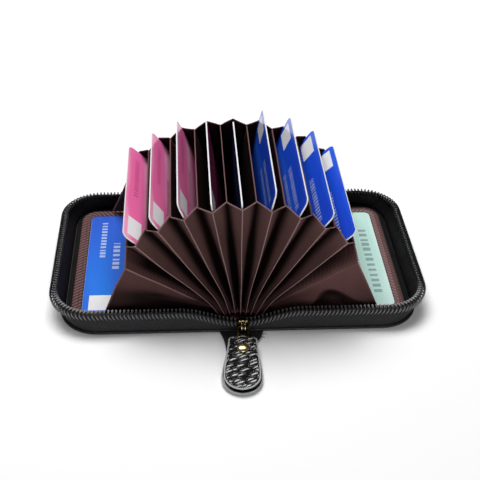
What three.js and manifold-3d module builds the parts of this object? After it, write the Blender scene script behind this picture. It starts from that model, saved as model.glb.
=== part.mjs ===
// Zip card case, lying open: two leather covers hinged on a spine, a fan of card pockets between them.
// Millimetres, +Z up, +Y to the rear. The origin is on the ground, at the middle of the spine.
import * as THREE from 'three';
import { mergeVertices } from 'three/addons/utils/BufferGeometryUtils.js';
import Module from 'manifold-3d';

const wasm = await Module();
wasm.setup();

// Gap between pieces that touch
const gap = 0.3;

// Zip line seen from above, past the cards' ends, and the leather that carries it
const zipEndRoom = 11.4;
const zipReach = 94;
const zipCornerRadius = 20;
const leatherThickness = 1.6;
const leatherOverhang = 3.4;
const leatherInset = 3.4;
const wallFootInset = 1.6;
const leatherEdgeBevel = 0.4;
const spineHalfWidth = 10.4;
const spineSeam = 0.8;
const wallHeight = 8;
const wallThickness = 1.3;
const linerThickness = 0.4;
const spineLinerThickness = 0.3;
const linerInset = 1.2;

// Zip chain and its dip towards the spine
const toothPitch = 1.95;
const toothHeight = 1.8;
const toothValley = 1.1;
const toothWidth = 3.6;
const toothWaist = 2.4;
const dipDepth = 6.8;
const dipReach = 44;
const flexReach = 23.4;

// Fan of pockets
const pocketCount = 9;
const pocketPitchDeg = 11.8;
const rootPitch = 1.5;
const rootHeight = 2.6;
const fanRadius = 62;
const dividerStop = 5.1;
const dividerThickness = 0.4;
const dividerFoot = 2.2;
const dividerCornerRadius = 2;
const pleatStrip = 10;
const pleatThickness = 0.8;
const floorLow = 0.7;
const floorHigh = 1.9;

// Outer gussets between the fan and the covers
const gussetStart = 10;
const gussetFoldDeg = 61;
const gussetHollowDeg = 74;
const gussetFoldReach = 8;
const gussetHollowReach = 5.5;
const gussetFootReach = 7;

// Cards, and how far each stands out from the middle of the fan
const cardLength = 85.6;
const cardWidth = 54;
const cardThickness = 0.76;
const cardCornerRadius = 3.2;
const cardReach = [69.5, 68.5, 69, 64.5, 62.5, 71, 70.5, 69, 68];

// Clear pocket on each cover, with its card
const windowInset = 14;
const windowBorder = 5;
const windowCornerRadius = 9;
const windowMouth = 32;
const frameThickness = 1;
const filmThickness = 0.2;

// Zip slider with its bridge, ring and leather tab
const sliderLow = 2.5;
const sliderHeight = 5.6;
const sliderTopWidth = 6;
const sliderLowWidth = 4.6;
const plateThickness = 1.1;
const postWidth = 1.8;
const postHeight = 1.2;
const bridgeHalfHeight = 2.5;
const bridgeReach = 3;
const bridgeBand = 1.15;
const bridgeWidth = 1.8;
const ringWire = 0.5;
const ringLength = 8.4;
const ringWidth = 5.2;
const ringCornerRadius = 1.6;
const ringSlopeDeg = 8;
const pullYawDeg = -4;
const tabLength = 35;
const tabNeckWidth = 3;
const tabShoulder = 1.2;
const tabTopWidth = 12.4;
const tabEndRadius = 8.6;
const tabLeather = 1.1;
const tabInnerGap = 0.85;
const tabSlopeDeg = 2.6;
const rivetPlace = 9.4;
const rivetHeadRadius = 2.75;
const rivetHeadHeight = 1.2;
const rivetShankRadius = 0.9;
const rivetWasherRadius = 2.2;
const rivetWasherHeight = 0.5;

// Tongue of tape under the tab
const tongueLength = 15;
const tongueRootHalfWidth = 11;
const tongueTipHalfWidth = 8.6;
const tongueThickness = 0.9;

// Heights and places that follow from the sizes above
const rad = THREE.MathUtils.degToRad;
const wallLow = leatherThickness + gap;
const wallTop = wallLow + wallHeight;
const chainLow = wallTop + gap;
const coverStart = spineHalfWidth + spineSeam;
const linerTop = wallLow + linerThickness;
const frameLow = linerTop + gap;
const filmLow = frameLow + frameThickness + gap;
const filmTop = filmLow + filmThickness;
const footHeight = filmTop + 2 * gap;
const zipHalfLength = cardLength / 2 + zipEndRoom;
const leatherHalfLength = zipHalfLength + leatherOverhang;
const leatherReach = zipReach - leatherInset;
const footHalfLength = leatherHalfLength - wallFootInset;
const footReach = leatherReach - wallFootInset;
const dividerHalfLength = cardLength / 2 - dividerStop;
const windowCardReach = zipReach - windowInset;
const middle = (pocketCount - 1) / 2;

const group = new THREE.Group();

function material(color, roughness, metalness = 0) {
  return new THREE.MeshStandardMaterial({ color, roughness, metalness });
}

const black = { leather: [0x17171a, 0.5], tape: [0x1c1c1f, 0.85], teeth: [0x121214, 0.35], lining: [0x161618, 0.6] };
const brown = { fabric: [0x4a3130, 0.8], border: [0x5a3a39, 0.8] };
const brass = [0xc9a25a, 0.3, 1];
const clear = [0xdfe6ea, 0.1];
const cardFinish = {
  rose: [0xe0568c, 0.4],
  plum: [0x5c1f3f, 0.4],
  night: [0x1b1c3a, 0.4],
  blue: [0x2456c8, 0.4],
  azure: [0x2f7df0, 0.4],
  mint: [0xb5e2c8, 0.4],
};

function addMesh(name, geometry, finish, parent = group) {
  const mesh = new THREE.Mesh(geometry, material(...finish));
  mesh.name = name;
  parent.add(mesh);
  return mesh;
}

function solidFrom(positions, triangles) {
  let volume = 0;
  const a = new THREE.Vector3();
  const b = new THREE.Vector3();
  const c = new THREE.Vector3();
  for (let i = 0; i < triangles.length; i += 3) {
    a.copy(positions[triangles[i]]);
    b.copy(positions[triangles[i + 1]]);
    c.copy(positions[triangles[i + 2]]);
    volume += a.dot(b.cross(c));
  }
  const index = volume > 0 ? triangles : triangles.toReversed();
  const geometry = new THREE.BufferGeometry().setFromPoints(positions);
  geometry.setIndex(index);
  return geometry;
}

// A closed sheet between two grids of points: face[i][j] and back[i][j]
function slab(face, back) {
  const rows = face.length;
  const columns = face[0].length;
  const positions = [...face.flat(), ...back.flat()];
  const at = (layer, i, j) => layer * rows * columns + i * columns + j;
  const triangles = [];
  const quad = (a, b, c, d) => triangles.push(a, b, c, a, c, d);
  for (let i = 0; i + 1 < rows; i += 1) {
    for (let j = 0; j + 1 < columns; j += 1) {
      quad(at(0, i, j), at(0, i + 1, j), at(0, i + 1, j + 1), at(0, i, j + 1));
      quad(at(1, i, j), at(1, i, j + 1), at(1, i + 1, j + 1), at(1, i + 1, j));
    }
    quad(at(0, i + 1, 0), at(0, i, 0), at(1, i, 0), at(1, i + 1, 0));
    quad(at(0, i, columns - 1), at(0, i + 1, columns - 1), at(1, i + 1, columns - 1), at(1, i, columns - 1));
  }
  for (let j = 0; j + 1 < columns; j += 1) {
    quad(at(0, 0, j), at(0, 0, j + 1), at(1, 0, j + 1), at(1, 0, j));
    quad(at(0, rows - 1, j + 1), at(0, rows - 1, j), at(1, rows - 1, j), at(1, rows - 1, j + 1));
  }
  return solidFrom(positions, triangles);
}

// A closed loop of wire through the given points, which lie in a plane with the given normal
function wireLoop(points, normal, radius, sides) {
  const count = points.length;
  const positions = [];
  const triangles = [];
  points.forEach((point, i) => {
    const ahead = points[(i + 1) % count];
    const behind = points[(i + count - 1) % count];
    const outward = ahead.clone().sub(behind).normalize().cross(normal);
    for (let j = 0; j < sides; j += 1) {
      const turn = (2 * Math.PI * j) / sides;
      const place = point.clone().addScaledVector(outward, radius * Math.cos(turn));
      positions.push(place.addScaledVector(normal, radius * Math.sin(turn)));
      const next = (j + 1) % sides;
      const row = ((i + 1) % count) * sides;
      triangles.push(i * sides + j, row + j, row + next);
      triangles.push(i * sides + j, row + next, i * sides + next);
    }
  });
  return solidFrom(positions, triangles);
}

function toManifold(geometry) {
  const bare = geometry.clone();
  bare.deleteAttribute('normal');
  bare.deleteAttribute('uv');
  const merged = mergeVertices(bare);
  const vertProperties = new Float32Array(merged.attributes.position.array);
  const triVerts = new Uint32Array(merged.index.array);
  return new wasm.Manifold(new wasm.Mesh({ numProp: 3, vertProperties, triVerts }));
}

function fromManifold(solid) {
  const mesh = solid.getMesh();
  const geometry = new THREE.BufferGeometry();
  geometry.setAttribute('position', new THREE.BufferAttribute(new Float32Array(mesh.vertProperties), 3));
  geometry.setIndex(Array.from(mesh.triVerts));
  return geometry;
}

function joined(geometries, cuts = []) {
  let solid = geometries.map(toManifold).reduce((sum, next) => sum.add(next));
  solid = cuts.map(toManifold).reduce((rest, cut) => rest.subtract(cut), solid);
  return fromManifold(solid);
}

function plate(shape, low, height, curveSegments = 4) {
  const geometry = new THREE.ExtrudeGeometry(shape, { depth: height, bevelEnabled: false, curveSegments });
  return geometry.translate(0, 0, low);
}

function box(lowX, highX, lowY, highY, lowZ, highZ) {
  const geometry = new THREE.BoxGeometry(highX - lowX, highY - lowY, highZ - lowZ);
  return geometry.translate((lowX + highX) / 2, (lowY + highY) / 2, (lowZ + highZ) / 2);
}

function roundedRectangle(lowX, highX, lowY, highY, radius) {
  const shape = new THREE.Shape();
  shape.absarc(highX - radius, lowY + radius, radius, -Math.PI / 2, 0);
  shape.absarc(highX - radius, highY - radius, radius, 0, Math.PI / 2);
  shape.absarc(lowX + radius, highY - radius, radius, Math.PI / 2, Math.PI);
  shape.absarc(lowX + radius, lowY + radius, radius, Math.PI, 1.5 * Math.PI);
  shape.closePath();
  return shape;
}

// Outline of a cover from above: square at the spine, round at its two outer corners
function coverShape(start, reach, halfLength, radius, side) {
  const shape = new THREE.Shape();
  const turn = side > 0 ? 0 : Math.PI;
  const clockwise = side < 0;
  const bend = (side * Math.PI) / 2;
  const corner = side * (reach - radius);
  shape.moveTo(side * start, -halfLength);
  shape.lineTo(corner, -halfLength);
  shape.absarc(corner, -halfLength + radius, radius, turn - bend, turn, clockwise);
  shape.absarc(corner, halfLength - radius, radius, turn, turn + bend, clockwise);
  shape.lineTo(side * start, halfLength);
  shape.closePath();
  return shape;
}

// The zip line of one cover, from its front end round to its rear end, as evenly spaced points
function zipLine(side, steps) {
  const path = new THREE.Path();
  const corner = zipReach - zipCornerRadius;
  path.moveTo(flexReach, -zipHalfLength);
  path.lineTo(corner, -zipHalfLength);
  path.absarc(corner, -zipHalfLength + zipCornerRadius, zipCornerRadius, -Math.PI / 2, 0);
  path.absarc(corner, zipHalfLength - zipCornerRadius, zipCornerRadius, 0, Math.PI / 2);
  path.lineTo(flexReach, zipHalfLength);
  const count = steps ?? 2 * Math.round(path.getLength() / toothPitch);
  const points = path.getSpacedPoints(count);
  return points.map((point) => point.set(side * point.x, point.y));
}

function outwardAt(points, i) {
  const ahead = points[Math.min(i + 1, points.length - 1)];
  const behind = points[Math.max(i - 1, 0)];
  const along = ahead.clone().sub(behind).normalize();
  const outward = new THREE.Vector2(along.y, -along.x);
  return outward.x * ahead.x + outward.y * ahead.y < 0 ? outward.negate() : outward;
}

// How far the zip line drops towards the spine
function dip(x) {
  return dipDepth * (1 - THREE.MathUtils.smoothstep(Math.abs(x), 0, dipReach));
}

function band(points, sectionAt) {
  const face = [];
  const back = [];
  points.forEach((point, i) => {
    const outward = outwardAt(points, i);
    const { half, low, high, foot = point } = sectionAt(point, i);
    const place = (at, reach, z) => new THREE.Vector3(at.x + outward.x * reach, at.y + outward.y * reach, z);
    face.push([place(foot, half, low), place(point, half, high)]);
    back.push([place(foot, -half, low), place(point, -half, high)]);
  });
  return slab(face, back);
}

// Where the wall stands on the leather, below a point of the zip line
function footOf(point) {
  const along = (footReach - flexReach) / (zipReach - flexReach);
  const x = flexReach + (Math.abs(point.x) - flexReach) * along;
  return new THREE.Vector2(Math.sign(point.x) * x, (point.y * footHalfLength) / zipHalfLength);
}

function wallBand(points) {
  return band(points, (point) => ({
    half: wallThickness / 2,
    low: wallLow,
    high: wallTop - dip(point.x),
    foot: footOf(point),
  }));
}

// Zip teeth: a ridge that swells and narrows once for each tooth
function chainBand(points) {
  return band(points, (point, i) => {
    const crest = i % 2 === 1;
    const low = chainLow - dip(point.x);
    return {
      half: (crest ? toothWidth : toothWaist) / 2,
      low,
      high: low + (crest ? toothHeight : toothValley),
    };
  });
}

function makeSpine() {
  const leather = box(-spineHalfWidth, spineHalfWidth, -leatherHalfLength, leatherHalfLength, 0, leatherThickness);
  addMesh('spine_leather', leather, black.leather);
  const lining = box(
    -spineHalfWidth + linerInset,
    spineHalfWidth - linerInset,
    -zipHalfLength + linerInset,
    zipHalfLength - linerInset,
    wallLow,
    wallLow + spineLinerThickness,
  );
  addMesh('spine_lining', lining, brown.fabric);
}

function makeTongue() {
  const start = -leatherHalfLength - gap;
  const end = start - tongueLength;
  const shape = new THREE.Shape();
  shape.moveTo(tongueRootHalfWidth, start);
  shape.lineTo(-tongueRootHalfWidth, start);
  shape.quadraticCurveTo(-tongueTipHalfWidth, start, -tongueTipHalfWidth, end);
  shape.lineTo(tongueTipHalfWidth, end);
  shape.quadraticCurveTo(tongueTipHalfWidth, start, tongueRootHalfWidth, start);
  addMesh('zip_end_tongue', plate(shape, 0, tongueThickness), black.tape);
}

// Tape and teeth that bend over the spine, between the two covers
function makeSpineZip(end, sign) {
  const steps = 24;
  const reach = flexReach - gap;
  const y = sign * zipHalfLength;
  const footY = sign * footHalfLength;
  const sliderRoom = sliderTopWidth / 2 + gap;
  const columns = Array.from({ length: steps + 1 }, (_, i) => -reach + (2 * reach * i) / steps);
  const topAt = (x) => {
    const low = end === 'front' && Math.abs(x) < sliderRoom + gap;
    return low ? sliderLow - gap : wallTop - dip(x);
  };
  const side = (depth) => columns.map((x) => {
    const lean = (topAt(x) - wallLow) / (wallTop - dip(x) - wallLow);
    return [
      new THREE.Vector3(x, footY + depth, wallLow),
      new THREE.Vector3(x, footY + lean * (y - footY) + depth, topAt(x)),
    ];
  });
  const face = side(wallThickness / 2);
  const back = side(-wallThickness / 2);
  addMesh(`${end}_tape_web`, slab(face, back), black.tape);
  for (const half of [-1, 1]) {
    const start = 2 * gap;
    const teeth = 2 * Math.round((reach - start) / toothPitch);
    const points = Array.from({ length: teeth + 1 }, (_, i) => {
      return new THREE.Vector2(half * (start + ((reach - start) * i) / teeth), y);
    });
    addMesh(`${end}_teeth_${half < 0 ? 'left' : 'right'}`, chainBand(points), black.teeth);
  }
}

function makeCover(name, side) {
  const outline = coverShape(
    coverStart + leatherEdgeBevel,
    leatherReach - leatherEdgeBevel,
    leatherHalfLength - leatherEdgeBevel,
    zipCornerRadius - leatherEdgeBevel,
    side,
  );
  const leather = new THREE.ExtrudeGeometry(outline, {
    depth: leatherThickness - 2 * leatherEdgeBevel,
    bevelThickness: leatherEdgeBevel,
    bevelSize: leatherEdgeBevel,
    bevelSegments: 1,
    curveSegments: 8,
  });
  addMesh(`${name}_leather`, leather.translate(0, 0, leatherEdgeBevel), black.leather);
  addMesh(`${name}_wall`, wallBand(zipLine(side, 56)), black.tape);
  addMesh(`${name}_teeth`, chainBand(zipLine(side)), black.teeth);
  const inset = wallThickness / 2 + linerInset;
  const lining = coverShape(
    coverStart + 2 * linerInset,
    footReach - inset,
    footHalfLength - inset,
    zipCornerRadius - inset,
    side,
  );
  addMesh(`${name}_lining`, plate(lining, wallLow, linerThickness, 8), black.lining);
}

// Clear pocket on a cover: a border open towards the spine, a film over it and a card under it
function makeWindow(name, side, finish) {
  const cardHalf = cardLength / 2;
  const inner = windowCardReach + gap;
  const outer = inner + windowBorder;
  const half = cardHalf + gap + windowBorder;
  const border = new THREE.Shape();
  const corner = outer - windowCornerRadius;
  border.moveTo(side * windowMouth, -half);
  border.lineTo(side * corner, -half);
  border.quadraticCurveTo(side * outer, -half, side * outer, -half + windowCornerRadius);
  border.lineTo(side * outer, half - windowCornerRadius);
  border.quadraticCurveTo(side * outer, half, side * corner, half);
  border.lineTo(side * windowMouth, half);
  border.lineTo(side * windowMouth, cardHalf + gap);
  border.lineTo(side * inner, cardHalf + gap);
  border.lineTo(side * inner, -cardHalf - gap);
  border.lineTo(side * windowMouth, -cardHalf - gap);
  border.closePath();
  addMesh(`${name}_window_border`, plate(border, frameLow, frameThickness), brown.border);
  const film = new THREE.Shape();
  film.moveTo(side * windowMouth, -half);
  film.lineTo(side * corner, -half);
  film.quadraticCurveTo(side * outer, -half, side * outer, -half + windowCornerRadius);
  film.lineTo(side * outer, half - windowCornerRadius);
  film.quadraticCurveTo(side * outer, half, side * corner, half);
  film.lineTo(side * windowMouth, half);
  film.closePath();
  addMesh(`${name}_window_film`, plate(film, filmLow, filmThickness), clear);
  const end = side * windowCardReach;
  const start = side * (windowCardReach - cardWidth);
  const shape = roundedRectangle(Math.min(start, end), Math.max(start, end), -cardHalf, cardHalf, cardCornerRadius);
  addMesh(`${name}_window_card`, plate(shape, frameLow, cardThickness), finish);
}

// A point of the fan: a spoke from its own pivot on the spine, leaning by an angle from upright
function fanPoint(pivot, angle, radius) {
  return { x: pivot + radius * Math.sin(angle), z: rootHeight + radius * Math.cos(angle) };
}

// Stands a flat plate up in the fan: its length along Y, its height along the spoke
function fanPlate(name, shape, thickness, place, finish) {
  const holder = new THREE.Group();
  holder.position.set(place * rootPitch, 0, rootHeight);
  holder.rotation.y = place * rad(pocketPitchDeg);
  const geometry = plate(shape, -thickness / 2, thickness, 3);
  geometry.rotateX(Math.PI / 2);
  geometry.rotateZ(Math.PI / 2);
  addMesh(name, geometry, finish, holder);
  group.add(holder);
}

function makeDivider(number) {
  const place = number - 1.5 - middle;
  const shape = new THREE.Shape();
  const half = dividerHalfLength;
  const radius = dividerCornerRadius;
  shape.moveTo(-half, dividerFoot);
  shape.lineTo(half, dividerFoot);
  shape.absarc(half - radius, fanRadius - radius, radius, 0, Math.PI / 2);
  shape.absarc(-half + radius, fanRadius - radius, radius, Math.PI / 2, Math.PI);
  shape.closePath();
  fanPlate(`divider_${number}`, shape, dividerThickness, place, brown.fabric);
}

function makeCard(number) {
  const place = number - 1 - middle;
  const top = cardReach[number - 1];
  const half = cardLength / 2;
  const shape = roundedRectangle(-half, half, top - cardWidth, top, cardCornerRadius);
  const finishes = ['rose', 'rose', 'rose', 'plum', 'night', 'blue', 'blue', 'blue', 'blue'];
  fanPlate(`card_${number}`, shape, cardThickness, place, cardFinish[finishes[number - 1]]);
}

// Half the room between two dividers, across a pocket that leans by an angle, at a given radius
function halfRoom(angle, radius) {
  return (rootPitch / 2) * Math.cos(angle) + radius * Math.sin(rad(pocketPitchDeg / 2));
}

// One folded end of a pocket, from one divider out to the fold and back to the next
function pleatFold(place, sign) {
  const rows = 5;
  const angle = place * rad(pocketPitchDeg);
  const start = dividerHalfLength + gap;
  const grid = (depth) => Array.from({ length: rows }, (_, i) => {
    const radius = floorLow + gap + ((fanRadius - floorLow - gap) * i) / (rows - 1);
    const spoke = fanPoint(place * rootPitch, angle, radius);
    const room = halfRoom(angle, radius);
    const fold = Math.sqrt(pleatStrip ** 2 - room ** 2);
    const edge = room - gap / 2;
    const point = (across, out) => new THREE.Vector3(
      spoke.x + across * Math.cos(angle),
      sign * (start + out + depth),
      spoke.z - across * Math.sin(angle),
    );
    return [point(-edge, 0), point(0, fold), point(edge, 0)];
  });
  return slab(grid(pleatThickness), grid(0));
}

function makePleat(number) {
  const place = number - 1 - middle;
  const angle = place * rad(pocketPitchDeg);
  const halfFloor = halfRoom(angle, 0) - gap / 2;
  const floorEnd = dividerHalfLength + pleatStrip - 2 * gap;
  const floor = box(-halfFloor, halfFloor, -floorEnd, floorEnd, floorLow, floorHigh);
  floor.rotateY(angle);
  floor.translate(place * rootPitch, 0, rootHeight);
  const solid = joined([floor, pleatFold(place, -1), pleatFold(place, 1)]);
  addMesh(`pleat_${number}`, solid, brown.fabric);
}

// Soft gusset from the outermost divider down to a cover
function makeGusset(name, side, end, sign) {
  const rows = 5;
  const place = side * (middle + 0.5);
  const pivot = place * rootPitch;
  const lean = place * rad(pocketPitchDeg);
  const start = dividerHalfLength + gap;
  const grid = (depth) => Array.from({ length: rows }, (_, i) => {
    const radius = gussetStart + ((fanRadius - gussetStart) * i) / (rows - 1);
    const point = (x, z, out) => new THREE.Vector3(x, sign * (start + out + depth), z);
    const onSpoke = (angle, out) => {
      const spoke = fanPoint(pivot, angle, radius);
      return point(spoke.x, spoke.z, out);
    };
    const divider = fanPoint(pivot + (side * gap) / 2 / Math.cos(lean), lean, radius);
    return [
      point(divider.x, divider.z, 0),
      onSpoke(side * rad(gussetFoldDeg), gussetFoldReach),
      onSpoke(side * rad(gussetHollowDeg), gussetHollowReach),
      point(pivot + side * radius, footHeight, gussetFootReach),
    ];
  });
  addMesh(`${name}_${end}_gusset`, slab(grid(pleatThickness), grid(0)), brown.fabric);
}

const sliderFront = -zipHalfLength - toothWidth / 2 - gap;
const sliderBack = -zipHalfLength + toothWidth / 2 + gap;
const bridgeHeight = sliderLow + sliderHeight / 2;

function sliderPlate(y) {
  const shape = new THREE.Shape();
  const top = sliderLow + sliderHeight;
  shape.moveTo(-sliderLowWidth / 2, sliderLow);
  shape.lineTo(sliderLowWidth / 2, sliderLow);
  shape.lineTo(sliderTopWidth / 2, top - postHeight);
  shape.quadraticCurveTo(sliderTopWidth / 2, top, 0, top);
  shape.quadraticCurveTo(-sliderTopWidth / 2, top, -sliderTopWidth / 2, top - postHeight);
  shape.closePath();
  const geometry = plate(shape, 0, plateThickness);
  return geometry.rotateX(Math.PI / 2).translate(0, y, 0);
}

function makeSlider() {
  const top = sliderLow + sliderHeight;
  const overlap = plateThickness / 2;
  const post = box(
    -postWidth / 2,
    postWidth / 2,
    sliderFront - overlap,
    sliderBack + overlap,
    top - 2 * postHeight,
    top - overlap,
  );
  const arch = new THREE.Shape();
  const innerHeight = bridgeHalfHeight - bridgeBand;
  arch.moveTo(-bridgeHalfHeight, -overlap);
  arch.lineTo(-bridgeHalfHeight, 0);
  arch.absellipse(0, 0, bridgeHalfHeight, bridgeReach, Math.PI, 0, true);
  arch.lineTo(bridgeHalfHeight, -overlap);
  arch.lineTo(innerHeight, -overlap);
  arch.absellipse(0, 0, innerHeight, bridgeReach - bridgeBand, 0, Math.PI, false);
  arch.lineTo(-innerHeight, -overlap);
  arch.closePath();
  const bridge = plate(arch, -bridgeWidth / 2, bridgeWidth, 8);
  const axes = new THREE.Matrix4().makeBasis(
    new THREE.Vector3(0, 0, 1),
    new THREE.Vector3(0, -1, 0),
    new THREE.Vector3(1, 0, 0),
  );
  bridge.applyMatrix4(axes).translate(0, sliderFront - plateThickness, bridgeHeight);
  const plates = [sliderPlate(sliderFront), sliderPlate(sliderBack + plateThickness)];
  addMesh('zip_slider', joined([...plates, post, bridge]), brass);
}

// Ring through the bridge, and the folded leather tab on its far end
function makePull() {
  const pull = new THREE.Group();
  pull.position.set(0, sliderFront - plateThickness - (bridgeReach - bridgeBand) / 2, bridgeHeight);
  pull.rotation.z = rad(pullYawDeg);
  group.add(pull);

  const slope = rad(ringSlopeDeg);
  const forward = new THREE.Vector3(0, -Math.cos(slope), -Math.sin(slope));
  const across = new THREE.Vector3(1, 0, 0);
  const half = ringWidth / 2;
  const outline = roundedRectangle(-half, half, 0, ringLength, ringCornerRadius).getPoints(3).slice(0, -1);
  const loop = outline.map((point) => {
    return forward.clone().multiplyScalar(point.y).addScaledVector(across, point.x);
  });
  const normal = across.clone().cross(forward).normalize();
  addMesh('pull_ring', wireLoop(loop, normal, ringWire, 6), brass, pull);

  const tab = new THREE.Group();
  tab.position.copy(forward).multiplyScalar(ringLength);
  tab.rotation.x = rad(tabSlopeDeg);
  pull.add(tab);
  makeTab(tab);
}

function makeTab(parent) {
  const straight = tabLength - tabEndRadius;
  const outerFace = tabInnerGap + tabLeather;
  const overlap = gap / 2;
  const shape = new THREE.Shape();
  const top = -tabShoulder;
  const shoulder = top - tabShoulder;
  shape.moveTo(-tabNeckWidth / 2, overlap);
  shape.lineTo(-tabNeckWidth / 2, top);
  shape.quadraticCurveTo(-tabTopWidth / 2, top, -tabTopWidth / 2, shoulder);
  shape.quadraticCurveTo(-tabEndRadius, -straight / 2, -tabEndRadius, -straight);
  shape.absarc(0, -straight, tabEndRadius, Math.PI, 2 * Math.PI);
  shape.quadraticCurveTo(tabEndRadius, -straight / 2, tabTopWidth / 2, shoulder);
  shape.quadraticCurveTo(tabTopWidth / 2, top, tabNeckWidth / 2, top);
  shape.lineTo(tabNeckWidth / 2, overlap);
  shape.closePath();
  const upper = plate(shape, tabInnerGap, tabLeather, 10);
  const lower = plate(shape, -outerFace, tabLeather, 10);
  const fold = new THREE.Shape();
  fold.absarc(0, 0, outerFace, Math.PI / 2, -Math.PI / 2, true);
  fold.absarc(0, 0, tabInnerGap, -Math.PI / 2, Math.PI / 2, false);
  fold.closePath();
  const bend = plate(fold, -tabNeckWidth / 2, tabNeckWidth, 6);
  const axes = new THREE.Matrix4().makeBasis(
    new THREE.Vector3(0, 1, 0),
    new THREE.Vector3(0, 0, 1),
    new THREE.Vector3(1, 0, 0),
  );
  bend.applyMatrix4(axes);
  const hole = new THREE.CylinderGeometry(rivetShankRadius + gap, rivetShankRadius + gap, 4 * outerFace, 12);
  hole.rotateX(Math.PI / 2).translate(0, -rivetPlace, 0);
  addMesh('pull_tab', joined([upper, lower, bend], [hole]), black.leather, parent);

  const seat = outerFace + gap / 2;
  const foot = -seat - rivetWasherHeight;
  const profile = [
    new THREE.Vector2(0, foot),
    new THREE.Vector2(rivetWasherRadius, foot),
    new THREE.Vector2(rivetWasherRadius, -seat),
    new THREE.Vector2(rivetShankRadius, -seat),
    new THREE.Vector2(rivetShankRadius, seat),
    new THREE.Vector2(rivetHeadRadius, seat),
    new THREE.Vector2(rivetHeadRadius * 0.9, seat + rivetHeadHeight * 0.55),
    new THREE.Vector2(rivetHeadRadius * 0.5, seat + rivetHeadHeight * 0.9),
    new THREE.Vector2(0, seat + rivetHeadHeight),
  ];
  const rivet = new THREE.LatheGeometry(profile, 14);
  addMesh('tab_rivet', rivet.rotateX(Math.PI / 2).translate(0, -rivetPlace, 0), brass, parent);
}

makeSpine();
makeTongue();
makeSpineZip('front', -1);
makeSpineZip('rear', 1);
for (const [name, side, finish] of [['left', -1, cardFinish.azure], ['right', 1, cardFinish.mint]]) {
  makeCover(`${name}_cover`, side);
  makeWindow(name, side, finish);
  makeGusset(name, side, 'front', -1);
  makeGusset(name, side, 'rear', 1);
}
for (let number = 1; number <= pocketCount; number += 1) {
  makePleat(number);
  makeCard(number);
}
for (let number = 1; number <= pocketCount + 1; number += 1) {
  makeDivider(number);
}
makeSlider();
makePull();

export default group;
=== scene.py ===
"""Looks of the zip card case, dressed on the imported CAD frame. Sizes are in millimetres."""

import math

import bpy
import numpy as np
from mathutils import Matrix, Vector


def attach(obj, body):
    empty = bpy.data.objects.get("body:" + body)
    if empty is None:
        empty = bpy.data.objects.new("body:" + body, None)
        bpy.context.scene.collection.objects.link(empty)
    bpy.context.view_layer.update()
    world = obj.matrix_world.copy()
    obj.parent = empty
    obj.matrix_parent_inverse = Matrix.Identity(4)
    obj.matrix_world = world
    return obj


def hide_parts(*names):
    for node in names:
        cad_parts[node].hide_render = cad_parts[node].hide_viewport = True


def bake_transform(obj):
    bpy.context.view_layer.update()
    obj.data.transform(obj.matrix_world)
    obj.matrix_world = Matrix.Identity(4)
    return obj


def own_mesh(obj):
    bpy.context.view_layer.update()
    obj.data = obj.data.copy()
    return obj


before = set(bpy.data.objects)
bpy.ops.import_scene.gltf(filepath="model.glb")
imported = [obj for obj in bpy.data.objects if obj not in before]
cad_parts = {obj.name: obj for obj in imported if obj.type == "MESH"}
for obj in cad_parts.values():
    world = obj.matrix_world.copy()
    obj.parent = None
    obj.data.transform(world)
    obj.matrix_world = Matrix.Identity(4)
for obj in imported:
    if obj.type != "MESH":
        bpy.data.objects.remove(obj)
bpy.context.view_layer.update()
scene = bpy.context.scene

MM = 0.001
QUARTER = math.pi / 2
SIDES = (("left", -1), ("right", 1))

# Sizes shared with the CAD
ZIP_HALF = 54.2
ZIP_REACH = 94.0
ZIP_CORNER = 20.0
LEATHER_HALF = 57.6
LEATHER_REACH = 90.6
LEATHER_THICK = 1.6
FOOT_HALF = 56.0
FOOT_REACH = 89.0
FLEX_REACH = 23.4
WALL_TOP = 9.9
DIP_DEPTH = 6.8
DIP_REACH = 30.0
TOOTH_PITCH = 1.95
POCKETS = 9
PITCH = math.radians(11.8)
ROOT_PITCH = 1.5
ROOT_Z = 2.6
FAN_RADIUS = 62.0
DIVIDER_HALF = 37.7
PLEAT_STRIP = 10.0
CARD_LENGTH = 85.6
CARD_WIDTH = 54.0
CARD_THICK = 0.76
CARD_CORNER = 3.2
CARD_REACH = [69.5, 68.5, 69.0, 64.5, 62.5, 71.0, 70.5, 69.0, 68.0]
WINDOW_REACH = 80.0
WINDOW_BORDER = 5.0
WINDOW_MOUTH = 32.0
WINDOW_CORNER = 9.0


# Numbers, lines and grids
def smoothstep(low, high, x):
    t = np.clip((x - low) / (high - low), 0, 1)
    return t * t * (3 - 2 * t)


def bell(x, width):
    return np.exp(-((x / width) ** 2))


def unit(vectors):
    return vectors / np.maximum(np.linalg.norm(vectors, axis=-1, keepdims=True), 1e-9)


def left_of(flat):
    return np.stack([-flat[:, 1], flat[:, 0]], axis=1)


def grid(first, second):
    return np.meshgrid(first, second, indexing="ij")


def run_of(path):
    """Length along a path, at each of its points."""
    return np.concatenate([[0], np.cumsum(np.linalg.norm(np.diff(path, axis=0), axis=1))])


def points_at(path, at):
    """The points of a path at given lengths along it."""
    run = run_of(path)
    return np.stack([np.interp(at, run, column) for column in path.T], axis=1)


def three_sides(start, reach, half, radius, arc_steps, long_steps=2, end_steps=2):
    """Line along the front, round the outer end and back along the rear, with rounded corners."""
    corner = reach - radius
    arc = np.linspace(0, QUARTER, arc_steps)[1:]
    line = [(x, -half) for x in np.linspace(start, corner, long_steps)]
    line += [(corner + radius * math.sin(a), -half + radius * (1 - math.cos(a))) for a in arc]
    line += [(reach, y) for y in np.linspace(-half + radius, half - radius, end_steps)[1:]]
    line += [(corner + radius * math.cos(a), half - radius * (1 - math.sin(a))) for a in arc]
    line += [(x, half) for x in np.linspace(corner, start, long_steps)[1:]]
    return np.array(line)


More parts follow.
